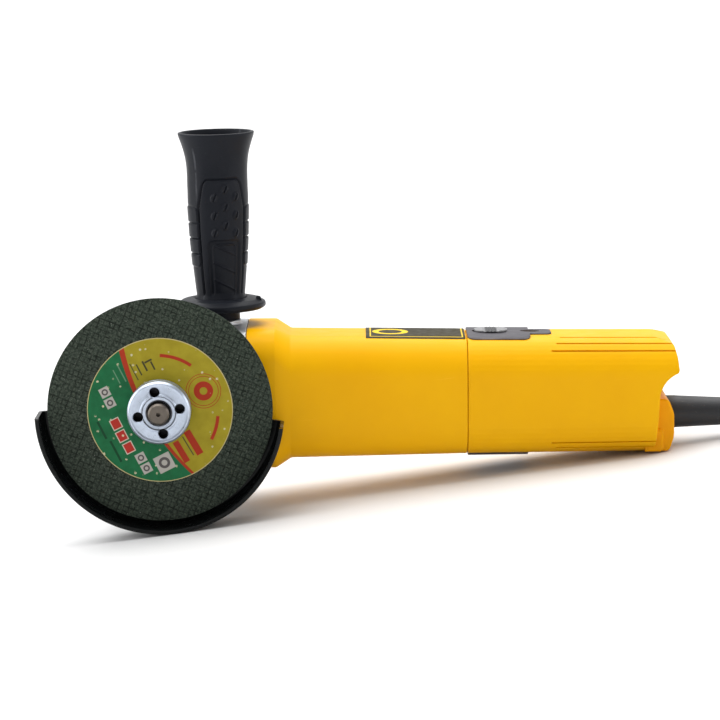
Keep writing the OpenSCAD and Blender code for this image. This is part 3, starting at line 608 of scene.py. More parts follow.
def make_tail_boss():
    """Orange cord boss under the scoop, round toward the cord."""
    outline = fillet([(232, -27.0), (243.9, -27.3, 2.5), (246.3, -20, 12), (246.2, -9, 8), (243.6, -1.8, 3),
                      (232, -1.8)], 6)
    boss = slab("cord_boss", TOOL, outline, -18.9, 18.9)
    step = fillet([(232, -27.2), (240.6, -27.2, 1.5), (240.9, -16.5, 2), (232, -16.5)], 4)
    combine(boss, slab("boss_step", TOOL, step, -20.6, 20.6), "UNION")
    bore = revolve("bore", MOTOR @ Matrix.Translation((CORD_DROP, 0, 0)),
                   [(0, 228), (8.15, 228), (8.15, 260), (0, 260)], 64)
    combine(boss, bore, "DIFFERENCE")
    return apply_modifiers(moulded(boss, 0.45, 5), 60)


def surface_point(x, s, sign, lift):
    """Point on the housing at x, s millimetres round from the middle of its top or bottom."""
    t = (x - BODY_START) / (SEAM_X - BODY_START) if x < SEAM_X else (x - SEAM_X) / (TAIL_X - SEAM_X)
    one, two = (BODY_FRONT, BODY_SEAM) if x < SEAM_X else (BODY_SEAM, BODY_TAIL)
    height = one[0] + (two[0] - one[0]) * t
    half = one[1] + (two[1] - one[1]) * t
    flat = half - BODY_CORNER
    if abs(s) <= flat:
        return (x, s, sign * (height + lift))
    a = (abs(s) - flat) / BODY_CORNER
    side = math.copysign(1, s)
    r = BODY_CORNER + lift
    return (x, side * (flat + r * math.sin(a)), sign * (height - BODY_CORNER + r * math.cos(a)))


def make_plate(name, widths, lift, sign=1, sink=0.6):
    """Thin plate that follows the housing: widths are (x, half width) stations."""
    count = 28
    sections = []
    for i, (x, width) in enumerate(widths):
        edge = 0.75 if i in (0, len(widths) - 1) else 1.0
        top = []
        for k in range(count + 1):
            share = -1 + 2 * k / count
            rim = min(1.0, (1 - abs(share)) * width / 0.35 + 0.55)
            top.append(surface_point(x, share * width, sign, lift * rim * edge))
        low = [surface_point(x, (1 - 2 * k / count) * width * 0.995, sign, -sink) for k in range(count + 1)]
        sections.append(top + low)
    return loft(name, TOOL, sections, 40)


def round_widths(x0, x1, width, corner, steps=6):
    """Stations of a plate with round corners at both ends."""
    ends = []
    for k in range(steps + 1):
        a = math.radians(90 * k / steps)
        ends.append((corner * (1 - math.cos(a)), width - corner * (1 - math.sin(a))))
    return [(x0 + d, w) for d, w in ends] + [(x1 - d, w) for d, w in reversed(ends)]


def make_switch_plate():
    wide = round_widths(SEAM_X + 0.3, 177.0, 17.0, 3.5)
    narrow = round_widths(170.0, 187.6, 7.2, 3.2)
    plate = make_plate("switch_surround", wide, 0.95)
    tongue = make_plate("switch_tongue", narrow, 0.85)
    combine(plate, tongue, "UNION")
    dimple_at = TOOL @ Matrix.Translation((177.4, 0, 31.6)) @ Matrix.Scale(0.62, 4, (0, 1, 0))
    dimple = revolve("dimple", dimple_at, [(0, -4), (4.0, -4), (4.9, -2.2), (4.9, 3), (0, 3)], 48)
    combine(plate, dimple, "DIFFERENCE")
    slot = loft("slot", TOOL, [[(x, y, z) for x, y in rounded_at(156.7, 0, 7.4, 3.1, 2)] for z in (24, 34)])
    return combine(plate, slot, "DIFFERENCE", 40)


def rounded_at(x, y, half_x, half_y, radius):
    return [(x + px, y + py) for px, py in rounded(half_x, half_y, radius, 4)]


def make_slide_knob():
    """Lens-shaped thumb slide, with two light lobes and a notched middle."""
    sections = []
    length, width, foot = 8.1, 8.0, 29.75
    steps = 40
    for i in range(steps + 1):
        t = -1 + 2 * i / steps
        x = KNOB_X + t * length
        half = width * math.sqrt(max(0.0, 1 - abs(t) ** 2.2)) + 0.05
        notch = 0.55 * (0.5 - 0.5 * math.cos(t * math.pi * 9)) if abs(t) < 0.45 else 0.0
        dish = 0.35 if abs(t) < 0.5 else 0.0
        top = foot + 1.55 - 0.7 * t * t - notch * 0.8 - dish
        arch = [(y / 12, 1 - 0.45 * (y / 12) ** 2) for y in range(-12, 13)]
        sections.append([(x, u * half, foot + (top - foot) * h) for u, h in arch]
                        + [(x, half, foot), (x, -half, foot)])
    return loft("thumb_slide", TOOL, sections, 30)


# ---- Side handle ----

GRIP_CENTRE = 11.0
GRIP_R = 14.2
GRIP_TOP, GRIP_FOOT = 91.2, 12.6


def rounded_box_distance(u, h, half_u, low, high, radius):
    """Signed distance from a rectangle with round corners, negative inside."""
    du = np.abs(u) - half_u + radius
    dh = np.abs(h - (low + high) / 2) - (high - low) / 2 + radius
    outside = np.hypot(np.maximum(du, 0), np.maximum(dh, 0))
    return outside + np.minimum(np.maximum(du, dh), 0) - radius


def step_down(distance, soft=0.35):
    """1 inside an outline and 0 outside, with a soft edge."""
    return 1 / (1 + np.exp(np.clip(distance / (soft * 0.35), -40, 40)))


def line(distance, half_width):
    return np.exp(-(distance / half_width) ** 2)


def grip_relief(angle, h):
    """Height of the moulded pattern over the plain grip, in millimetres."""
    around = (angle - GRIP_CENTRE + 90) % 180 - 90
    u = around * math.pi / 180 * GRIP_R
    side_u = (90 - np.abs(around)) * math.pi / 180 * GRIP_R
    half_panel = 9.3 + 3.1 * np.clip((69 - h) / 14, 0, 1)
    panel = rounded_box_distance(u / half_panel * 12, h, 12, -30, 69.4, 3.6)
    height = -0.85 * line(panel, 0.5) - 0.12 * step_down(panel)
    block = rounded_box_distance(side_u, h, 9.6, 26.6, 56, 2.6)
    height += 0.35 * step_down(block) - 0.3 * line(block, 0.4)
    for groove in (33.1, 40.5, 47.9):
        height -= 0.85 * line(h - groove, 0.42) * step_down(block)
    inset = rounded_box_distance(u - 0.7, h, 8.6, 8, 39.8, 3)
    inner = rounded_box_distance(u - 0.7, h, 6.3, 8, 37.8, 2)
    height -= 0.75 * step_down(inset)
    height += 0.55 * line(inner, 0.32) + 0.2 * step_down(inner)
    for start in (35.4, 26.9, 18.5):
        height += 0.5 * line((h - start) * 0.91 + u * 0.41, 0.3) * step_down(inner)
    for column, rows in ((-16, (60.5, 51.8, 43.6)), (5, (64.7, 55.9, 47)), (27, (60.8, 51.9, 43.3))):
        for row in rows:
            du = u - column * math.pi / 180 * GRIP_R
            dh = h - row
            across, along = du * 0.94 - dh * 0.34, dh * 0.94 + du * 0.34
            oval = np.hypot(across / 1.45, along / 1.95)
            height += 0.75 * step_down((oval - 1) * 1.4) - 0.75 * line(across - 0.25, 0.34) * (oval < 0.9)
    return height * np.clip((h - GRIP_FOOT) / 1.5, 0, 1)


def grip_radius(h):
    """Radius of the plain grip at height h: slim at the foot, a belly, and a flared top."""
    heights = [GRIP_FOOT, 14, 27, 41, 56, 70, 74, 78, 82, 86, 89, GRIP_TOP]
    radii = [11.6, 11.9, 13.1, 14.05, 14.65, 14.6, 14.7, 15.05, 15.8, 17.0, 18.1, 18.7]
    return np.interp(h, heights, radii)


def make_handle():
    steps = 300
    rise = np.linspace(GRIP_FOOT, GRIP_TOP - 0.9, 260)
    kernel = np.hanning(21)
    plain = grip_radius(rise)
    padded_line = np.concatenate([np.full(10, plain[0]), plain, np.linspace(plain[-1], plain[-1] + 0.5, 10)])
    plain = np.convolve(padded_line, kernel / kernel.sum(), "valid")
    foot = fillet([
        (4.0, 0.1), (9, 0.1, 0.5), (9, 5.3, 0.6), (20.0, 5.3, 0.8), (21.6, 6.4, 1), (21.6, 8.4, 1.2),
        (18.5, 10.2, 3), (13.2, 11.2, 2)
    ], 5)
    top = plain[-1]
    rim = [(top + 0.05, GRIP_TOP - 0.5), (top - 0.15, GRIP_TOP - 0.15), (top - 0.5, GRIP_TOP),
           (top - 1.1, GRIP_TOP), (top - 1.5, GRIP_TOP - 0.3)]
    inside = [(top - 2.0, 88.5), (top - 3.4, 84), (13.2, 79), (12.2, 72), (11.4, 60), (10.8, 45), (10.2, 36),
              (9.4, 34.6), (5.6, 34.4), (5.6, 6), (4.0, 6)]
    first = len(foot)
    profile = [*foot, *zip(plain, rise), *rim, *inside]
    radii = np.array([p[0] for p in profile], float)
    heights = np.array([p[1] for p in profile], float)
    angles = np.arange(steps) * 360 / steps
    grid_r = np.repeat(radii[None, :], steps, 0)
    grip = slice(first, first + len(rise))
    from_front = angles[:, None] + 90
    grid_r[:, grip] += grip_relief(from_front, heights[None, grip])
    a = np.radians(angles)[:, None]
    points = np.stack([grid_r * np.cos(a), grid_r * np.sin(a), np.repeat(heights[None, :], steps, 0)], -1)
    faces = ring_faces(steps, steps, len(profile))
    handle = solid("handle_moulding", HANDLE, points.reshape(-1, 3).tolist(), faces, 50)
    fin = slab("fin", HANDLE, ((16.4, 8), (20.2, 8), (19.2, 11.2), (17.4, 11.6)), -4.5, -2.9)
    return combine(handle, fin, "UNION", 50)


# ---- Wheel, nut and guard ----

def make_disc():
    profile = fillet([
        (DISC_BORE, DISC_BACK), (DISC_R, DISC_BACK, 0.2), (DISC_R, DISC_FRONT, 0.2), (DISC_BORE, DISC_FRONT)
    ], 2)
    return revolve("abrasive_disc", SPINDLE, profile, 180)


def make_label():
    front = DISC_FRONT + 0.17
    return revolve("paper_label", SPINDLE, [(8.6, DISC_FRONT + 0.02), (34.5, DISC_FRONT + 0.02),
                                            (34.45, front), (8.6, front)], 144)


def make_nut():
    top = NUT_BACK + NUT_T
    profile = fillet([
        (5.1, NUT_BACK), (14.9, NUT_BACK, 0.3), (14.9, NUT_BACK + 2.2, 0.25), (14.1, NUT_BACK + 2.6, 0.2),
        (14.1, NUT_BACK + 3.3, 0.2), (14.9, NUT_BACK + 3.7, 0.25), (14.9, NUT_BACK + 5.6, 0.25),
        (14.4, NUT_BACK + 5.9, 0.15), (14.4, NUT_BACK + 6.4, 0.15), (15, NUT_BACK + 6.8, 0.25),
        (15, top - 1.3, 0.4), (13.9, top - 0.15, 0.35), (12.9, top - 0.45, 0.6), (9.2, top - 0.45, 0.3),
        (8.7, top, 0.2), (8.1, top, 0.2), (7.7, top - 0.6, 0.2), (6.3, top - 0.6, 0.2), (5.3, top - 1.5, 0.2)
    ], 3)
    nut = revolve("pin_spanner_nut", SPINDLE, profile, 144)
    holes = []
    for k in range(4):
        a = math.radians(11 + 90 * k)
        at = SPINDLE @ Matrix.Translation((10 * math.cos(a), 10 * math.sin(a), 0))
        holes.append(revolve("hole", at, [(0, NUT_BACK + 0.6), (2.3, NUT_BACK + 0.6), (2.3, top - 0.8),
                                          (2.6, top - 0.45), (2.6, top + 1), (0, top + 1)], 40))
    return combine(nut, join(holes, "holes"), "DIFFERENCE")


def make_guard():
    """Sheet guard: a back plate, a curved wall with a rolled front lip, and the neck it turns on."""
    guard_r, lip_r, plate_bore = 59.0, 56.9, 20.6
    back, front = 32.0, 55.0
    sheet, lip = 1.8, 1.3
    start, span = 270 - 2.8 - 84.5, 169.0
    wall = fillet([
        (plate_bore, back), (guard_r - 0.1, back, 2.6), (guard_r - 0.1, front - 0.1, 0.9),
        (lip_r, front - 0.1, 0.5), (lip_r, front - lip, 0.3), (guard_r - sheet, front - lip, 0.1),
        (guard_r - sheet, back + sheet, 1.6), (plate_bore, back + sheet)
    ], 5)
    guard = revolve("guard_sheet", SPINDLE, wall, 150, start, span)
    neck = revolve("neck", SPINDLE, fillet([(20.1, back), (22.0, back, 0.3), (22.0, back + 6.4, 0.4),
                                            (20.1, back + 6.4)], 3), 96)
    return combine(guard, neck, "UNION")


# ---- Materials ----

def yellow_plastic(name, colour, deep_tone_and_shade):
    """Moulded nylon: painted shade (a deeper tone) in the hollows, soft flow marks and light scuffs."""
    made, tree, shader, where = start_material(name)
    set_shader(shader, Coat_Weight=0.03, Coat_Roughness=0.2, Specular_IOR_Level=0.07)
    flow = noise(tree, where, 22, 4, 0.55)
    # painted shade: the deeper tone is laid where the surface is hollow
    painted_hollow_shade = ramp(tree, add(tree, "ShaderNodeNewGeometry").outputs["Pointiness"], 0.44, 0.5)
    mixed = mottle(tree, flow, deep_tone_and_shade, colour)
    mixed = blend(tree, painted_hollow_shade, deep_tone_and_shade, mixed)
    streaks = add(tree, "ShaderNodeMapping", {"Vector": where, "Rotation": (0.1, 0.35, 0.2),
                                              "Scale": (22, 240, 420)}).outputs["Vector"]
    scuffs = ramp(tree, noise(tree, streaks, 1.8, 3, 0.7), 0.68, 0.76)
    mixed = blend(tree, times(tree, scuffs, 0.3), mixed, tuple(min(1, c * 1.1 + 0.04) for c in colour))
    rough = ramp(tree, noise(tree, where, 130, 5, 0.6), 0.25, 0.75, 0.3, 0.46)
    connect(tree, shader, mixed, rough, [(noise(tree, where, 1700, 2), 0.012), (scuffs, -0.006)])
    return made


def machined(name, colour, rings, rough=0.3, painted_hollow_shade=0.0):
    """Turned metal: fine rings about the spindle, stains and small dents, and painted shade deep in its
    holes when a depth is given.
    """
    made, tree, shader, where = start_material(name)
    set_shader(shader, Metallic=1.0)
    u, v = offsets(tree, where, TOOL_X, TOOL_Z)
    radius = length2(tree, u, v)
    turning = noise(tree, add(tree, "ShaderNodeCombineXYZ", {"X": times(tree, radius, rings)}).outputs[0],
                    3.0, 3, 0.7)
    cloud = noise(tree, where, 240, 5, 0.6)
    mixed = mottle(tree, cloud, tuple(c * 0.8 for c in colour),
                  tuple(min(1, c * 1.1) for c in colour))
    # painted shade: near black inside the holes and bore, below the given depth
    if painted_hollow_shade:
        depth = offsets(tree, where, -TOOL_Y)[0]
        inside = times(tree, ramp(tree, depth, painted_hollow_shade, painted_hollow_shade - 0.9), ramp(tree, radius, 13.2, 12.8))
        mixed = blend(tree, inside, mixed, (0.02, 0.02, 0.022))
    roughness = plus(tree, ramp(tree, cloud, 0.3, 0.7, rough - 0.06, rough + 0.1),
                     ramp(tree, turning, 0.3, 0.7, -0.04, 0.06))
    connect(tree, shader, mixed, roughness, [(turning, 0.03), (noise(tree, where, 900, 3), 0.01)])
    return made


def abrasive_material():
    """Dark grit in resin over a woven glass net, with bright specks."""
    made, tree, shader, where = start_material("abrasive_grain")
    set_shader(shader, Specular_IOR_Level=0.12)
    u, v = offsets(tree, where, TOOL_X, TOOL_Z)
    waver = ramp(tree, noise(tree, where, 260, 2), 0.0, 1.0, -0.5, 0.5)
    turn = math.radians(-22)
    weave = []
    for angle in (turn, turn + math.pi / 2):
        along = plus(tree, times(tree, u, math.cos(angle)), times(tree, v, math.sin(angle)))
        shifted = plus(tree, along, waver)
        weave.append(calc(tree, "SINE", times(tree, shifted, 2 * math.pi / 2.5)))
    net = ramp(tree, calc(tree, "MAXIMUM", weave[0], weave[1]), 0.5, 0.95)
    grit = noise(tree, where, 1000, 5, 0.75)
    cells = add(tree, "ShaderNodeTexVoronoi", {"Vector": where, "Scale": 1200.0}).outputs["Distance"]
    mixed = blend(tree, ramp(tree, grit, 0.38, 0.66), (0.012, 0.02, 0.014), (0.075, 0.092, 0.07))
    broken = ramp(tree, noise(tree, where, 300, 3, 0.6), 0.35, 0.6)
    mixed = blend(tree, times(tree, times(tree, net, broken), 0.85), mixed,
                  (0.006, 0.009, 0.006))
    sparkle = ramp(tree, noise(tree, where, 1500, 3, 0.7), 0.67, 0.74)
    mixed = blend(tree, times(tree, sparkle, 0.75), mixed, (0.38, 0.4, 0.36))
    rough = ramp(tree, grit, 0.3, 0.7, 0.55, 0.85)
    connect(tree, shader, mixed, rough, [(grit, 0.14), (net, -0.16), (cells, 0.08)])
    return made


RED_INK = (0.42, 0.03, 0.02)
ORANGE_INK = (0.36, 0.03, 0.01)
DARK_INK = (0.05, 0.045, 0.02)
PALE_GREEN_INK = (0.12, 0.24, 0.14)
DEEP_GREEN_INK = (0.006, 0.05, 0.02)
LABEL_CENTRE = (-0.6, -1.1)
LABEL_RING = (21.3, 10.1)
LABEL_TURN = math.radians(26.6)
# Centre and half size
LABEL_SQUARES = (
    (-25.3, 9.8, 2.35), (-22.9, 4.7, 2.35), (-8.8, -21.8, 2.35), (-6.2, -26.8, 2.35), (2.3, -24.2, 4.1)
)
# Centre, half sizes, ink, and 1 for an outlined bar
LABEL_BARS = (
    (-20.3, -5.4, 2.0, 2.3, RED_INK, 1), (-17.6, -11.2, 2.0, 2.3, RED_INK, 1),
    (-14.4, -16.8, 2.0, 2.3, RED_INK, 1), (16.2, -14.6, 6.4, 1.7, ORANGE_INK, 0),
    (10.4, -19.0, 5.6, 1.5, ORANGE_INK, 0), (-4.6, 24.6, 1.9, 0.45, DARK_INK, 0),
    (-6.2, 22.2, 0.45, 2.6, DARK_INK, 0), (-2.4, 22.4, 0.4, 2.2, DARK_INK, 0),
    (-8.9, 20.4, 0.35, 2.9, (0.06, 0.055, 0.02), 0), (-11.3, 19.4, 0.3, 4.4, (0.09, 0.08, 0.02), 0),
    (-17.2, 19.0, 0.3, 4.6, PALE_GREEN_INK, 0), (-19.6, 17.2, 0.25, 3.6, PALE_GREEN_INK, 0),
    (13.6, -16.2, 5.2, 0.3, (0.08, 0.07, 0.02), 0), (-27.0, -8.4, 0.55, 4.6, DEEP_GREEN_INK, 0),
    (-20.6, -18.6, 0.55, 5.6, DEEP_GREEN_INK, 0),
)


def box_mask(tree, u, v, centre, half_u, half_v, turn):
    """1 inside a turned rectangle of the label."""
    du, dv = minus(tree, u, centre[0]), minus(tree, v, centre[1])
    c, s = math.cos(turn), math.sin(turn)
    a = plus(tree, times(tree, du, c), times(tree, dv, s))
    b = minus(tree, times(tree, dv, c), times(tree, du, s))
    reach = calc(tree, "MAXIMUM", minus(tree, size_of(tree, a), half_u),
                 minus(tree, size_of(tree, b), half_v))
    return ramp(tree, reach, 0.08, -0.08)


def ring_mask(tree, u, v, centre, radius, half_width):
    away = length2(tree, minus(tree, u, centre[0]), minus(tree, v, centre[1]))
    return ramp(tree, size_of(tree, minus(tree, away, radius)), half_width + 0.08,
                half_width - 0.08)


def arc_mask(tree, u, v, radius, first, last):
    """1 on an arc round the label's middle, between two angles in degrees."""
    away = length2(tree, u, v)
    angle = times(tree, calc(tree, "ARCTAN2", v, u), 180 / math.pi)
    inside = times(tree, ramp(tree, angle, first - 0.5, first + 0.5),
                  ramp(tree, angle, last + 0.5, last - 0.5))
    arc = ramp(tree, size_of(tree, minus(tree, away, radius)), 0.9, 0.7)
    return times(tree, arc, inside)


def label_material():
    """Printed paper: two fields, a tapering stripe, plain marks, a thin rim, flecks and scuffs."""
    made, tree, shader, where = start_material("printed_paper")
    set_shader(shader, Specular_IOR_Level=0.15)
    u, v = offsets(tree, where, TOOL_X, TOOL_Z)
    u, v = minus(tree, u, LABEL_CENTRE[0]), minus(tree, v, LABEL_CENTRE[1])
    cloud = noise(tree, where, 160, 5, 0.6)
    yellow = mottle(tree, cloud, (0.29, 0.23, 0.012), (0.37, 0.3, 0.02))
    green = mottle(tree, cloud, (0.008, 0.1, 0.035), (0.014, 0.15, 0.055))
    edge = minus(tree, length2(tree, minus(tree, u, 97), minus(tree, v, 54)), 116.5)
    colour = blend(tree, ramp(tree, edge, -0.1, 0.1), yellow, green)
    stripe_half = ramp(tree, v, -30, 30, 0.65, 1.3)
    stripe = ramp(tree, minus(tree, size_of(tree, edge), stripe_half), 0.1, -0.1)
    colour = blend(tree, stripe, colour, (0.38, 0.035, 0.012))
    for cu, cv, half in LABEL_SQUARES:
        square = box_mask(tree, u, v, (cu, cv), half, half, LABEL_TURN)
        colour = blend(tree, square, colour, (0.42, 0.4, 0.36))
        ring = ring_mask(tree, u, v, (cu, cv), half * 0.5, half * 0.16)
        colour = blend(tree, ring, colour, (0.09, 0.08, 0.08))
    for cu, cv, half_u, half_v, ink, outlined in LABEL_BARS:
        if outlined:
            rim = box_mask(tree, u, v, (cu, cv), half_u + 0.4, half_v + 0.4, LABEL_TURN)
            colour = blend(tree, rim, colour, (0.6, 0.52, 0.42))
        turn = math.radians(-60) if not outlined and cu > 0 else LABEL_TURN
        colour = blend(tree, box_mask(tree, u, v, (cu, cv), half_u, half_v, turn), colour, ink)
    for radius in (8.2, 7.0):
        colour = blend(tree, ring_mask(tree, u, v, LABEL_RING, radius, 0.16), colour, ORANGE_INK)
    colour = blend(tree, ring_mask(tree, u, v, LABEL_RING, 3.2, 1.4), colour, ORANGE_INK)
    for radius, ring_from, ring_to in ((27.2, 55, 88), (28.0, -28, -4)):
        colour = blend(tree, arc_mask(tree, u, v, radius, ring_from, ring_to), colour, ORANGE_INK)
    rim = ramp(tree, length2(tree, plus(tree, u, LABEL_CENTRE[0]), plus(tree, v, LABEL_CENTRE[1])),
               34.0, 34.2)
    colour = blend(tree, rim, colour, (0.5, 0.42, 0.2))
    specks = add(tree, "ShaderNodeTexVoronoi", {"Vector": where, "Scale": 290.0, "Randomness": 1.0})
    fleck = ramp(tree, specks.outputs["Distance"], 0.2, 0.13)
    draw = add(tree, "ShaderNodeSeparateColor", {"Color": specks.outputs["Color"]}).outputs["Red"]
    chosen = ramp(tree, draw, 0.5, 0.54)
    ragged = ramp(tree, noise(tree, where, 1500, 4, 0.7), 0.42, 0.5)
    lost = times(tree, times(tree, fleck, chosen), ragged)
    colour = blend(tree, lost, colour, (0.6, 0.55, 0.36))
    rough = ramp(tree, cloud, 0.3, 0.7, 0.42, 0.6)
    connect(tree, shader, colour, rough, [(noise(tree, where, 1800, 3), 0.02), (lost, -0.05)])
    return made


def plate_material():
    """Dark olive foil with a thin border line."""
    made, tree, shader, where = start_material("plate_foil_print")
    set_shader(shader, Specular_IOR_Level=0.06)
    u, v = offsets(tree, where, TOOL_X, TOOL_Y)
    middle, half_u, half_v = 122.0, 22.2, 14.4
    reach = calc(tree, "MAXIMUM", minus(tree, size_of(tree, minus(tree, u, middle)), half_u),
                 minus(tree, size_of(tree, v), half_v))
    border = ramp(tree, size_of(tree, reach), 0.4, 0.26)
    base = mottle(tree, noise(tree, where, 60, 4), (0.028, 0.023, 0.008), (0.04, 0.033, 0.012))
    colour = blend(tree, border, base, (0.72, 0.5, 0.03))
    colour = blend(tree, ring_mask(tree, u, v, (109.5, 0.0), 7.2, 1.5), colour, (0.8, 0.55, 0.01))
    rough = ramp(tree, noise(tree, where, 300, 4), 0.3, 0.7, 0.34, 0.5)
    connect(tree, shader, colour, rough, [(noise(tree, where, 1500, 2), 0.01), (border, 0.03)])
    return made


def copper_material():
    """Wound enamelled wire."""
    made, tree, shader, where = start_material("wound_copper")
    set_shader(shader, Metallic=1.0)
    windings = {"Vector": where, "Scale": 420.0, "Distortion": 1.2, "Detail": 1.0}
    wave = add(tree, "ShaderNodeTexWave", windings, wave_type="BANDS",
               bands_direction="DIAGONAL").outputs["Fac"]
    colour = blend(tree, wave, (0.3, 0.1, 0.03), (0.75, 0.33, 0.14))
    rough = ramp(tree, noise(tree, where, 200, 3), 0.3, 0.7, 0.3, 0.45)
    connect(tree, shader, colour, rough, [(wave, 0.15)])
    return made


def knob_material():
    """Light grey lobes beside a dark middle."""
    made, tree, shader, where = start_material("thumb_slide_nylon")
    set_shader(shader, Specular_IOR_Level=0.3)
    u = offsets(tree, where, TOOL_X)[0]
    middle = ramp(tree, size_of(tree, minus(tree, u, KNOB_X)), 3.2, 2.5)
    cloud = noise(tree, where, 300, 4, 0.6)
    light = mottle(tree, cloud, (0.2, 0.2, 0.205), (0.29, 0.29, 0.295))
    colour = blend(tree, middle, light, (0.035, 0.035, 0.038))
    rough = ramp(tree, cloud, 0.3, 0.7, 0.36, 0.5)
    connect(tree, shader, colour, rough, [(noise(tree, where, 1500, 2), 0.02)])
    return made


BLACK_PLASTIC = (0.02, 0.021, 0.025)
materials = {
    "yellow": yellow_plastic("yellow_nylon", (0.88, 0.46, 0.002), (0.84, 0.415, 0.002)),
    "orange": yellow_plastic("orange_nylon", (0.88, 0.39, 0.002), (0.76, 0.3, 0.002)),
    "cast": finish_material(
        "silver_paint", (0.5, 0.51, 0.53), rough=0.42, worn=(0.75, 0.75, 0.76), metal=0.75, coat=0.1,
        grain=(900, 0.05), tone=0.06, scratches=0.4
    ),
    "black": finish_material(
        "black_nylon", BLACK_PLASTIC, rough=0.5, grain=(1600, 0.03), tone=0.15, scratches=0.2, dust=0.1,
        specular=0.2
    ),
    "grip": finish_material(
        "grip_nylon", (0.012, 0.0135, 0.018), rough=0.36, worn=(0.05, 0.052, 0.06), grain=(1400, 0.03),
        tone=0.12, scratches=0.15, dust=0.03, specular=0.09
    ),
    "grey": finish_material(
        "grey_nylon", (0.06, 0.056, 0.066), rough=0.46, worn=(0.13, 0.125, 0.135), grain=(1500, 0.03),
        tone=0.1, scratches=0.3, dust=0.1, specular=0.25
    ),
    "ivory": finish_material("ivory_nylon", (0.68, 0.63, 0.5), rough=0.45, grain=(1400, 0.02), tone=0.06),
    "tan": finish_material("capacitor_shell", (0.5, 0.4, 0.2), rough=0.4, coat=0.2, grain=(1200, 0.01)),
    "enamel": finish_material(
        "black_enamel", (0.006, 0.007, 0.007), rough=0.24, worn=(0.09, 0.09, 0.09), coat=0.12,
        grain=(260, 0.03), tone=0.1, scratches=0.25, dust=0.08, specular=0.08
    ),
    "zinc": finish_material(
        "zinc_plate", (0.55, 0.6, 0.68), rough=0.3, metal=1.0, grain=(900, 0.02), tone=0.1, scratches=0.4
    ),
    # the last value is the depth below which the nut's holes and bore get painted shade
    "nut": machined("turned_zinc", (0.5, 0.56, 0.66), 2.2, 0.3, NUT_BACK + NUT_T - 1.2),
    "spindle": machined("brown_steel", (0.15, 0.13, 0.11), 3.0, 0.36),
    "knob": knob_material(),
    "screws": finish_material(
        "black_oxide", (0.08, 0.08, 0.085), rough=0.38, worn=(0.3, 0.3, 0.3), metal=0.9,
        grain=(1200, 0.03), tone=0.12
    ),
    "steel": finish_material(
        "ground_steel", (0.46, 0.45, 0.44), rough=0.28, worn=(0.7, 0.7, 0.7), metal=1.0,
        grain=(1100, 0.02), tone=0.1, scratches=0.6
    ),
    "laminations": finish_material(
        "varnished_sheets", (0.2, 0.2, 0.22), rough=0.4, worn=(0.4, 0.4, 0.4), metal=0.85, coat=0.2,
        grain=(1300, 0.06), tone=0.12
    ),
    "copper": copper_material(),
    "brass": finish_material(
        "satin_brass", (0.72, 0.5, 0.18), rough=0.3, worn=(0.85, 0.7, 0.4), metal=1.0, grain=(1200, 0.02),
        tone=0.1, scratches=0.4
    ),
    "carbon": finish_material(
        "pressed_carbon", (0.03, 0.03, 0.032), rough=0.55, worn=(0.15, 0.15, 0.15), metal=0.3,
        grain=(1500, 0.05), tone=0.15
    ),
    "rubber": finish_material(
        "black_rubber", (0.019, 0.02, 0.023), rough=0.48, grain=(1100, 0.03), tone=0.18, scratches=0.15,
        dust=0.2, specular=0.4
    ),
    "wire": finish_material("red_insulation", (0.42, 0.03, 0.02), rough=0.45, grain=(1200, 0.02), tone=0.1),
    "abrasive": abrasive_material(),
    "label": label_material(),
    "foil": plate_material(),
}


def dress(obj, material):
    obj.data.materials.clear()
    obj.data.materials.append(materials[material])


def add_piece(obj, body, slot, material, *nodes):
    dress(obj, material)
    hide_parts(*nodes)
    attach(obj, body)


for piece in (cord_flex, relief, plug):
    dress(piece, "rubber")

add_piece(make_motor_housing(), "housing", "yellow_plastic", "yellow", "motor_housing")
add_piece(make_rear_housing(), "housing", "yellow_plastic", "yellow", "rear_housing")
add_piece(make_tail_boss(), "housing", "orange_plastic", "orange", "tail_cover")
name_foil = make_plate("name_foil", [(97.6, 15.8), (97.9, 16.3), (145.2, 16.3), (145.6, 15.8)], 0.32)
add_piece(name_foil, "housing", "plate_foil", "foil", "name_plate")
add_piece(make_switch_plate(), "housing", "grey_plastic", "grey", "switch_plate")
add_piece(make_plate("lower_surround", round_widths(SEAM_X + 0.3, 176, 16, 3.5), 0.9, -1), "housing",
          "grey_plastic", "grey", "lower_plate")
add_piece(make_slide_knob(), "switch_slider", "grey_plastic", "knob", "slide_knob")
add_piece(make_handle(), "housing", "grip_plastic", "grip", "handle_grip")
add_piece(make_disc(), "spindle", "abrasive", "abrasive", "cutting_disc")
add_piece(make_label(), "spindle", "paper_label", "label", "disc_label")
add_piece(make_nut(), "spindle", "zinc_steel", "nut", "lock_nut")
add_piece(make_guard(), "guard", "black_enamel", "enamel", "wheel_guard")

# ---- CAD nodes that stay, with their materials ----

NODE_MATERIALS = {
    "cast": ("gear_case", "bearing_cover"),
    "black": ("air_baffle", "switch_body", "cord_clamp", "cooling_fan", "lock_button"),
    "ivory": ("switch_rod",),
    "tan": ("noise_capacitor",),
    "zinc": ("inner_flange", "guard_clamp", "guard_clamp_screw", "handle_stud", "lock_spring",
             "brush_springs"),
    "spindle": ("spindle",),
    "screws": ("gear_case_screws", "bearing_cover_screws", "rear_housing_screws", "cord_clamp_screws",
               "gear_circlip"),
    "steel": ("motor_shaft", "lock_pin", "bevel_gear", "pinion", "spindle_spacer", "spindle_ball_bearing",
              "spindle_needle_bearing", "shaft_front_bearing", "shaft_rear_bearing", "disc_bore_ring"),
    "laminations": ("stator_core", "rotor_core"),
    "copper": ("field_coils", "rotor_windings", "commutator"),
    "brass": ("brush_holders", "plug_pins"),
    "carbon": ("carbon_brushes",),
    "rubber": ("dust_seal",),
    "wire": ("lead_wires",),
}
for material, names in NODE_MATERIALS.items():
    for name in names:
        for holder in nodes[name].material_slots:
            holder.material = materials[material]

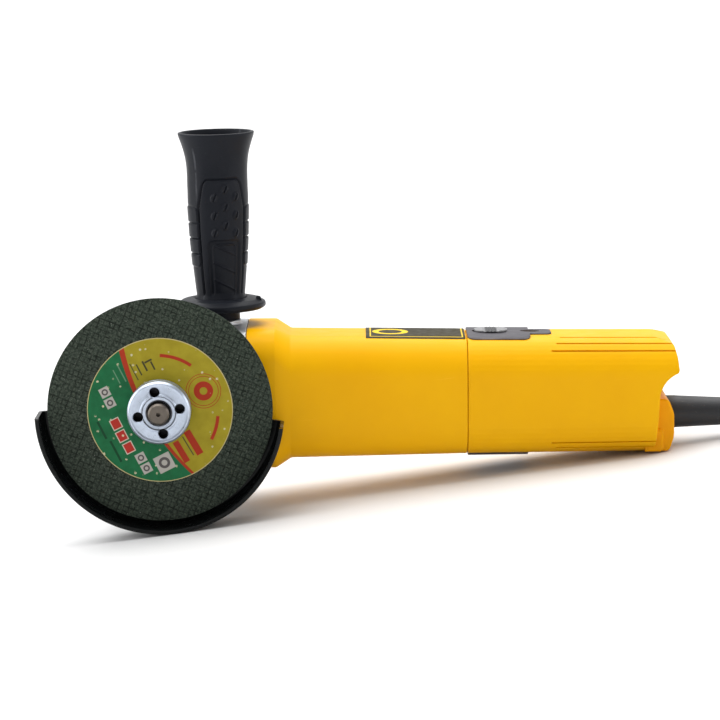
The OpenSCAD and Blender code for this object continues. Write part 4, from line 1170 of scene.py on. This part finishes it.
for name in ("gear_case", "bearing_cover"):
    moulded(nodes[name], 0.5, 3)
for name in ("guard_clamp", "guard_clamp_screw", "lock_button", "gear_case_screws", "bearing_cover_screws",
             "plug_pins", "inner_flange", "spindle"):
    softened(nodes[name], 0.2)


# ---- Floor and light ----

def add_light(data, at):
    light = bpy.data.objects.new(data.name, data)
    bpy.context.scene.collection.objects.link(light)
    light.location = at
    light.rotation_euler = (Vector((0, 0, 0.05)) - Vector(at)).to_track_quat("-Z", "Y").to_euler()


def make_stage():
    bpy.ops.mesh.primitive_plane_add(size=24)
    floor = bpy.context.active_object
    floor.name = "floor"
    made, _, shader, _ = start_material("studio_floor")
    set_shader(shader, Specular_IOR_Level=0.25)
    shader.inputs["Base Color"].default_value = (0.7, 0.7, 0.7, 1)
    shader.inputs["Roughness"].default_value = 0.6
    floor.data.materials.append(made)
    world = bpy.data.worlds.new("studio")
    bpy.context.scene.world = world
    world.use_nodes = True
    tree = world.node_tree
    background = next(n for n in tree.nodes if n.type == "BACKGROUND")
    direction = add(tree, "ShaderNodeTexCoord").outputs["Generated"]
    parts = add(tree, "ShaderNodeSeparateXYZ", {"Vector": direction})
    behind = ramp(tree, parts.outputs["Y"], -0.7, 0.5)
    overhead = ramp(tree, parts.outputs["Z"], 0.1, 0.9)
    tree.links.new(blend(tree, calc(tree, "MAXIMUM", behind, overhead), (0.13, 0.13, 0.14), (0.9, 0.9, 0.9)),
                   background.inputs["Color"])
    background.inputs["Strength"].default_value = 0.9
    sun = bpy.data.lights.new("overhead_sun", "SUN")
    sun.energy = 3.7
    sun.angle = math.radians(75)
    add_light(sun, (-0.05, 0.3, 1.0))
    for name, at, size, power in (("front_light", (-0.5, -1.4, 0.75), 0.5, 0.8),
                                  ("left_light", (-1.3, -0.1, 0.55), 1.0, 8.0),
                                  ("right_light", (1.4, -0.4, 0.35), 0.6, 3.2)):
        data = bpy.data.lights.new(name, "AREA")
        data.size = size
        data.energy = power
        add_light(data, at)


make_stage()
bpy.context.scene.view_settings.view_transform = "Standard"
